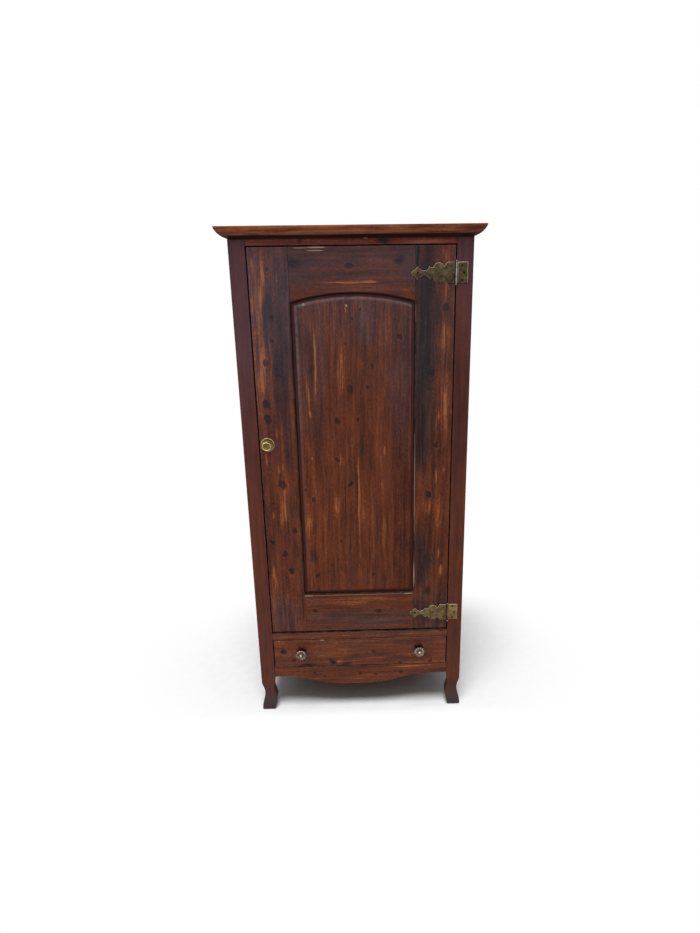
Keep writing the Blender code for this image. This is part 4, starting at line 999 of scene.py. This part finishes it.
def screw_mesh(radius, material):
    """A slotted screw head about the origin, looking along -Y."""
    bm = bmesh.new()
    profile = [(0.0, -SCREW_DEPTH), (radius * 0.8, -SCREW_DEPTH), (radius, 0.0),
               (radius * 0.75, SCREW_DOME * 0.6), (radius * 0.4, SCREW_DOME * 0.92), (0.0, SCREW_DOME)]
    turned(bm, profile, (0, 0, 0), sides=24)
    piece = new_object("slotted_screw", new_mesh("slotted_screw", bm))
    slot = bmesh.new()
    bmesh.ops.create_cube(slot, size=1.0)
    bmesh.ops.scale(slot, vec=(radius * 2.4, SCREW_DOME * 1.4, radius * 0.28), verts=slot.verts)
    bmesh.ops.translate(slot, vec=(0, -SCREW_DOME, 0), verts=slot.verts)
    carve(piece, slot, "screw_slot")
    mesh = piece.data
    bpy.data.objects.remove(piece)
    shade(mesh, METAL_SHARP_DEGREES)
    mesh.materials.append(material)
    return mesh


def add_screw(name, mesh, place, turn, body, replaced=()):
    """One screw, its slot turned as it was left."""
    piece = new_object(name, mesh)
    piece.matrix_world = Matrix.Translation(place) @ Matrix.Rotation(turn, 4, "Y")
    place_on(piece, body, replaced)


def hinge_strap(place, z, finishes):
    """The cut strap, with a hole at its end and its own knuckle."""
    bm = bmesh.new()
    plate(bm, strap_outline(z), STRAP_ROUND)
    strap = add_object("brass_strap_" + place, bm, "door", finishes, ["hinge_strap_" + place],
                       METAL_SHARP_DEGREES)
    hole = bmesh.new()
    turned(hole, END_HOLE, (axis_x - END_HOLE_OUT, leaf_back, z), sides=24)
    carve(strap, hole, "end_hole")
    bm = bmesh.new()
    bm.from_mesh(strap.data)
    reach = KNUCKLE_LENGTH / 2 - SEAT
    barrel(bm, z, -reach, reach)
    bm.to_mesh(strap.data)
    bm.free()
    shade(strap.data, METAL_SHARP_DEGREES)


def hinge_leaf(place, z, finishes):
    """The leaf on the post, with the knuckles above and below the strap's."""
    half, middle = HINGE_HEIGHT / 2, KNUCKLE_LENGTH / 2
    left, right = axis_x + KNUCKLE_RADIUS + KNUCKLE_CLEAR, axis_x + LEAF_WIDTH
    bm = bmesh.new()
    plate(bm, [(left, z - half), (right, z - half), (right, z + half), (left, z + half)], LEAF_ROUND)
    barrel(bm, z, middle, half)
    barrel(bm, z, -half, -middle)
    add_object("brass_leaf_" + place, bm, "case", finishes, ["hinge_leaf_" + place],
               METAL_SHARP_DEGREES)


def hinge_pin(place, z, steel):
    """The pin's ball ends, above and below the knuckles."""
    half = HINGE_HEIGHT / 2
    bm = bmesh.new()
    for sign in (1, -1):
        tip = [(0.0, half - PIN_NECK_LENGTH), (PIN_NECK_RADIUS, half - PIN_NECK_LENGTH),
               (PIN_NECK_RADIUS, half + SEAT)]
        for i in range(PIN_TIP_STEPS + 1):
            angle = math.pi * (0.12 + 0.88 * i / PIN_TIP_STEPS)
            out = half + SEAT + PIN_TIP_RADIUS * (1 - math.cos(angle))
            tip.append((PIN_TIP_RADIUS * math.sin(angle), out))
        turned(bm, tip, (axis_x, axis_y, z), (0, 0, sign), 24)
    add_object("ball_pin_" + place, bm, "case", [steel], ["hinge_pin_" + place])


def strap_hinges():
    """Two hinges: strap, leaf, knuckles with painted highlight and shade, a pin with ball ends, and screws.
    """
    steel = metal("hinge_steel", 31, STEEL, 0.30)
    # Painted highlight and painted shade for the hinges' edges and knuckles; the shade's dark brass also
    # colours dark screws
    wear_and_sheen = metal("strap_highlight_brass", 32, HIGHLIGHT_BRASS, 0.34)
    shaded = metal("strap_shaded_brass", 34, BLACKENED, 0.50)
    screw = screw_mesh(HINGE_SCREW_RADIUS, metal("hinge_screw_brass", 33, DARK_BRASS, 0.42))
    dark_screw = screw_mesh(HINGE_SCREW_RADIUS, shaded)
    for k, place in enumerate(("top", "bottom")):
        low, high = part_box("hinge_strap_" + place)
        z = (low.z + high.z) / 2
        strap_brass = metal("strap_brass_" + place, 35 + k, (DARK_BRASS, OLD_GOLD)[k], 0.46)
        leaf_brass = metal("leaf_brass_" + place, 37 + k, (DARK_BRASS, LEAF_GOLD)[k], 0.46)
        # The top knuckle's bright steel front is a painted highlight
        knuckle = (steel, strap_brass)[k]
        hinge_strap(place, z, [strap_brass, knuckle, wear_and_sheen, shaded])
        hinge_leaf(place, z, [leaf_brass, knuckle, wear_and_sheen, shaded])
        hinge_pin(place, z, steel)
        for i, (body, right, up, dark) in enumerate(HINGE_SCREWS):
            spot = (axis_x + right, leaf_front, z + up)
            turn = 0.7 * i + 1.3 * k
            add_screw(f"hinge_screw_{place}_{i + 1}", dark_screw if dark else screw, spot, turn, body)


def paint_rings(bm, rings):
    """Finish a turned form by rows of least radius, least distance ahead and material. The first counts."""
    for face in bm.faces:
        middle = face.calc_center_median()
        radius = math.hypot(middle.x - knob_x, middle.z - knob_z)
        for least_radius, least_out, index in rings:
            if radius > least_radius and front - middle.y > least_out:
                face.material_index = index
                break


def door_knob():
    """Turned knob with a raised rim round a hollow face."""
    brass = metal("knob_brass", 41, WORN_BRASS, 0.36)
    hollow = metal("knob_hollow_brass", 44, HOLLOW_BRASS, 0.46)
    polished = metal("knob_rim_brass", 45, POLISHED_BRASS, 0.26)
    low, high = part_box("door_knob")
    length = front - low.y
    shoulder = BACKPLATE_THICKNESS + 2 * SEAT
    radius = (high.x - low.x) / 2
    profile = [(0.0, shoulder), (0.0072, shoulder), (0.0070, shoulder + 0.0016), (0.0056, shoulder + 0.0045),
               (0.0055, 0.0115), (0.0080, 0.0150), (0.0112, 0.0178), (radius, 0.0203), (radius, 0.0222),
               (radius - 0.0014, length), (radius - 0.0034, length - 0.0004),
               (radius - 0.0042, length - 0.0022), (0.0050, length - 0.0030), (0.0, length - 0.0026)]
    bm = bmesh.new()
    turned(bm, filleted(profile, 0.0012), (knob_x, front, knob_z), sides=64)
    paint_rings(bm, ((radius - 0.0040, 0.0205, 1), (0.0, length - 0.0040, 2)))
    add_object("turned_knob", bm, "latch", [brass, polished, hollow], ["door_knob"], sharp=60)


def round_backplate():
    """Backplate with a raised rim and its two dark screws."""
    dull = metal("backplate_brass", 42, GOLD_BRASS, 0.42)
    rim = metal("backplate_rim_brass", 46, RIM_BRASS, 0.34)
    edge, face = BACKPLATE_RADIUS, BACKPLATE_THICKNESS
    profile = [(0.0, 0.0), (edge, 0.0), (edge, 0.0010), (edge - 0.0012, face), (edge - 0.0032, face),
               (edge - 0.0042, 0.0011), (0.0125, 0.0012), (0.0105, 0.0017), (0.0, 0.0017)]
    bm = bmesh.new()
    turned(bm, filleted(profile, 0.0006), (knob_x, leaf_back, knob_z), sides=64)
    paint_rings(bm, ((edge - 0.0045, 0.0, 1),))
    add_object("round_backplate", bm, "door", [dull, rim], ["knob_backplate"], sharp=60)
    screw = screw_mesh(BACKPLATE_SCREW_RADIUS, metal("backplate_screw_dark", 43, BLACKENED, 0.55))
    for name, sign, turn in (("upper", 1, 0.5), ("lower", -1, 1.9)):
        place = (knob_x, leaf_back - BACKPLATE_SCREW_AHEAD, knob_z + sign * BACKPLATE_SCREW_UP)
        add_screw("backplate_slotted_" + name, screw, place, turn, "door", ["backplate_screw_" + name])


def add_petal(bm, centre, turn):
    """One petal: a long dome that lies from the middle of the flower to its rim."""
    outward = Vector((math.sin(turn), 0, math.cos(turn)))
    aside = Vector((math.cos(turn), 0, -math.sin(turn)))
    ahead = Vector(AHEAD)
    middle = centre + outward * PETAL_OUT + ahead * PETAL_AHEAD
    turns = [2 * math.pi * k / PETAL_SIDES for k in range(PETAL_SIDES)]
    rings = []
    for i in range(PETAL_STEPS + 1):
        angle = math.pi * i / PETAL_STEPS
        base = middle + outward * PETAL_HALF_LENGTH * -math.cos(angle)
        if i in (0, PETAL_STEPS):
            rings.append([base])
            continue
        width = PETAL_HALF_WIDTH * math.sin(angle) * (1 - PETAL_SWELL * math.cos(angle))
        height = PETAL_HEIGHT * math.sin(angle)
        rings.append([base + aside * width * math.cos(a) + ahead * height * math.sin(a) for a in turns])
    skin(bm, rings, material=1)


def drawer_knobs():
    """Two knobs: turned stem, dark red partly as painted shade, silvered petals, painted-highlight dome in a
    dark ring.
    """
    finishes = [metal("stem_bronze_and_shade", 53, STEM_BRONZE_AND_SHADE, 0.45), metal("petal_silver", 51, SILVER, 0.36),
                metal("dome_highlight_brass", 52, HIGHLIGHT_BRASS, 0.36), metal("dome_ring_brass", 54, HOLLOW_BRASS, 0.40)]
    for place in ("left", "right"):
        low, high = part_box("drawer_knob_" + place)
        centre = Vector(((low.x + high.x) / 2, front, (low.z + high.z) / 2))
        rise = front - low.y - DOME_FOOT
        bm = bmesh.new()
        turned(bm, filleted(STEM, 0.0015), centre)
        turned(bm, filleted(DISC, 0.0010), centre, material=1)
        for k in range(PETALS):
            add_petal(bm, centre, 2 * math.pi * (k + 0.5) / PETALS)
        turned(bm, filleted(COLLAR, 0.0006), centre, sides=40, material=3)
        angles = [math.pi / 2 * i / DOME_STEPS for i in range(DOME_STEPS + 1)]
        dome = [(DOME_RADIUS * math.cos(angle), DOME_FOOT + rise * math.sin(angle)) for angle in angles]
        turned(bm, dome, centre, sides=40, material=2)
        add_object("flower_knob_" + place, bm, "drawer", finishes, ["drawer_knob_" + place],
                   sharp=50)


def back_nails():
    """Two nails at each crossing of a back board and a back rail."""
    iron = metal("nail_iron", 71, BLACKENED, 0.60)
    bm = bmesh.new()
    for board in range(1, 6):
        low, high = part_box(f"back_board_{board}")
        for rail in ("top", "middle", "bottom"):
            rail_low, rail_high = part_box("back_rail_" + rail)
            for share in NAIL_SHARES:
                place = (low.x + (high.x - low.x) * share, high.y, (rail_low.z + rail_high.z) / 2)
                turned(bm, NAIL_HEAD, place, (0, 1, 0), 16)
    add_object("back_nails", bm, "case", [iron])


def dress_fittings():
    """Finishes of the metal that is seen only when the door or drawer is open."""
    brass = metal("socket_brass", 61, GOLD_BRASS, 0.40)
    steel = metal("screw_steel", 62, STEEL, 0.36)
    for node in ("rod_socket_left", "rod_socket_right", "latch_tongue"):
        dress(node, brass, 0.0003)
    for node in ("drawer_knob_screw_left", "drawer_knob_screw_right"):
        dress(node, steel, 0.0002)


def add_camera():
    """The photograph's view."""
    data = bpy.data.cameras.new("photo_camera")
    data.sensor_fit = "AUTO"
    data.sensor_width = SENSOR_MM
    data.lens = CAMERA_FOCAL_PIXELS * SENSOR_MM / PHOTO_HEIGHT
    data.shift_x = (PHOTO_WIDTH / 2 - CAMERA_CENTRE_X_PIXEL) / PHOTO_HEIGHT
    camera = new_object("photo_camera", data)
    place = Matrix.Translation(CAMERA_PLACE)
    for angle, axis in ((CAMERA_YAW, "Z"), (math.pi / 2 - CAMERA_PITCH, "X"), (CAMERA_ROLL, "Z")):
        place = place @ Matrix.Rotation(angle, 4, axis)
    camera.matrix_world = place
    bpy.context.scene.camera = camera


# Studio: linear colours, and suns by name, elevation, azimuth to the right of the front, spread in degrees,
# strength, colour, and whether they light the floor alone or all but the floor
WHITE = (1.0, 1.0, 1.0)
WARM_WHITE = (1.0, 0.99, 0.97)
SKY = (0.94, 0.97, 1.0)
FLOOR_SIZE = 6.0
FLOOR_MIDDLE = (0, 0.1, 0)
FLOOR_SHADES = ((0.3, (0.93, 0.93, 0.935)), (0.7, (0.96, 0.96, 0.96)))
FLOOR_BOUNCE = (0.45, 0.44, 0.43)
SUNS = (
    ("soft_front", 48, -10, 60, 1.98, WARM_WHITE, False),
    ("steep_floor", 73, -11, 24, 2.4, WHITE, True),
    ("soft_back", 38, 165, 70, 1.0, WARM_WHITE, False),
    ("soft_right", 35, 95, 50, 1.1, WARM_WHITE, False),
    ("soft_left", 35, -95, 50, 0.9, (0.97, 0.99, 1.0), False),
)
LAMP_PLACE = Vector((-2.4, -0.9, 2.4))
LAMP_TARGET = Vector((0, -0.2, 0.9))
LAMP_SIZE = (1.2, 2.0)
LAMP_POWER = 18
LAMP_COLOUR = (0.84, 0.92, 1.0)


def seen_factor(net):
    """One on rays from the camera and on mirrored or refracted ones, nought on light that bounces."""
    path = net.put("ShaderNodeLightPath").outputs
    mirrored = net.most(path["Is Glossy Ray"], path["Is Transmission Ray"])
    return net.most(path["Is Camera Ray"], mirrored)


def add_world():
    """White to look at, and a softer light on the object that comes mostly from above."""
    world = bpy.data.worlds.new("studio")
    bpy.context.scene.world = world
    world.use_nodes = True
    net = Net(world.node_tree)
    net.tree.nodes.clear()
    up = net.split(net.put("ShaderNodeTexCoord").outputs["Generated"])["Z"]
    strength = net.smooth(up, 0.25, 0.95, 0.03, 0.52)
    even = net.put("ShaderNodeBackground", {"Color": (*SKY, 1), "Strength": strength}).outputs[0]
    white = net.put("ShaderNodeBackground", {"Color": (*WHITE, 1), "Strength": 1.0}).outputs[0]
    mixed = net.put("ShaderNodeMixShader", {0: seen_factor(net), 1: even, 2: white}).outputs[0]
    net.put("ShaderNodeOutputWorld", {0: mixed})


def floor_material():
    """Pale and faintly speckled, fading to white away from the object."""
    material = bpy.data.materials.new("studio_floor")
    material.use_nodes = True
    net = Net(material.node_tree)
    net.tree.nodes.clear()
    place = net.place()
    middle = net.vector("SUBTRACT", place, FLOOR_MIDDLE)
    reach = net.vector("LENGTH", net.vector("MULTIPLY", middle, (1, 1.6, 1)))
    ahead = net.smooth(net.split(place)["Y"], front + 0.002, front - 0.050)
    far = net.most(net.smooth(reach, 0.50, 0.92), ahead)
    tint = net.ramp(net.noise(place, (30, 30, 30), 3.0), FLOOR_SHADES)
    tint = net.mix(seen_factor(net), (*FLOOR_BOUNCE, 1), tint)
    pale = net.put("ShaderNodeBsdfDiffuse", {"Color": tint}).outputs[0]
    white = net.put("ShaderNodeEmission", {"Color": (*WHITE, 1), "Strength": 1.0}).outputs[0]
    fade = net.times(far, seen_factor(net))
    mixed = net.put("ShaderNodeMixShader", {0: fade, 1: pale, 2: white}).outputs[0]
    net.put("ShaderNodeOutputMaterial", {0: mixed})
    return material


def add_light(name, kind, strength, colour, lit):
    """A lamp of a kind that lights what is in a collection."""
    data = bpy.data.lights.new(name, kind)
    data.energy = strength
    data.color = colour
    lamp = new_object(name, data)
    lamp.light_linking.receiver_collection = lit
    return lamp


def add_studio():
    """Pale floor that fades to the white background, soft suns from all sides and a cool lamp on the left."""
    bm = bmesh.new()
    bmesh.ops.create_grid(bm, x_segments=1, y_segments=1, size=FLOOR_SIZE)
    floor = new_object("floor", new_mesh("floor", bm))
    floor.data.materials.append(floor_material())
    on_floor = bpy.data.collections.new("floor_alone")
    on_floor.objects.link(floor)
    off_floor = bpy.data.collections.new("all_but_floor")
    off_floor.objects.link(floor)
    off_floor.collection_objects[0].light_linking.link_state = "EXCLUDE"
    for name, elevation, azimuth, spread, strength, colour, floor_alone in SUNS:
        sun = add_light(name, "SUN", strength, colour, on_floor if floor_alone else off_floor)
        sun.data.angle = math.radians(spread)
        sun.rotation_euler = (math.radians(90 - elevation), 0, math.radians(azimuth))
    lamp = add_light("cool_left", "AREA", LAMP_POWER, LAMP_COLOUR, off_floor)
    lamp.data.shape = "RECTANGLE"
    lamp.data.size, lamp.data.size_y = LAMP_SIZE
    lamp.location = LAMP_PLACE
    lamp.rotation_euler = (LAMP_TARGET - LAMP_PLACE).to_track_quat("-Z", "Y").to_euler()
    lamp.visible_camera = False


add_camera()
dress_wood()
raised_panel()
strap_hinges()
door_knob()
round_backplate()
drawer_knobs()
back_nails()
dress_fittings()
add_world()
add_studio()
bpy.context.scene.view_settings.view_transform = "Standard"
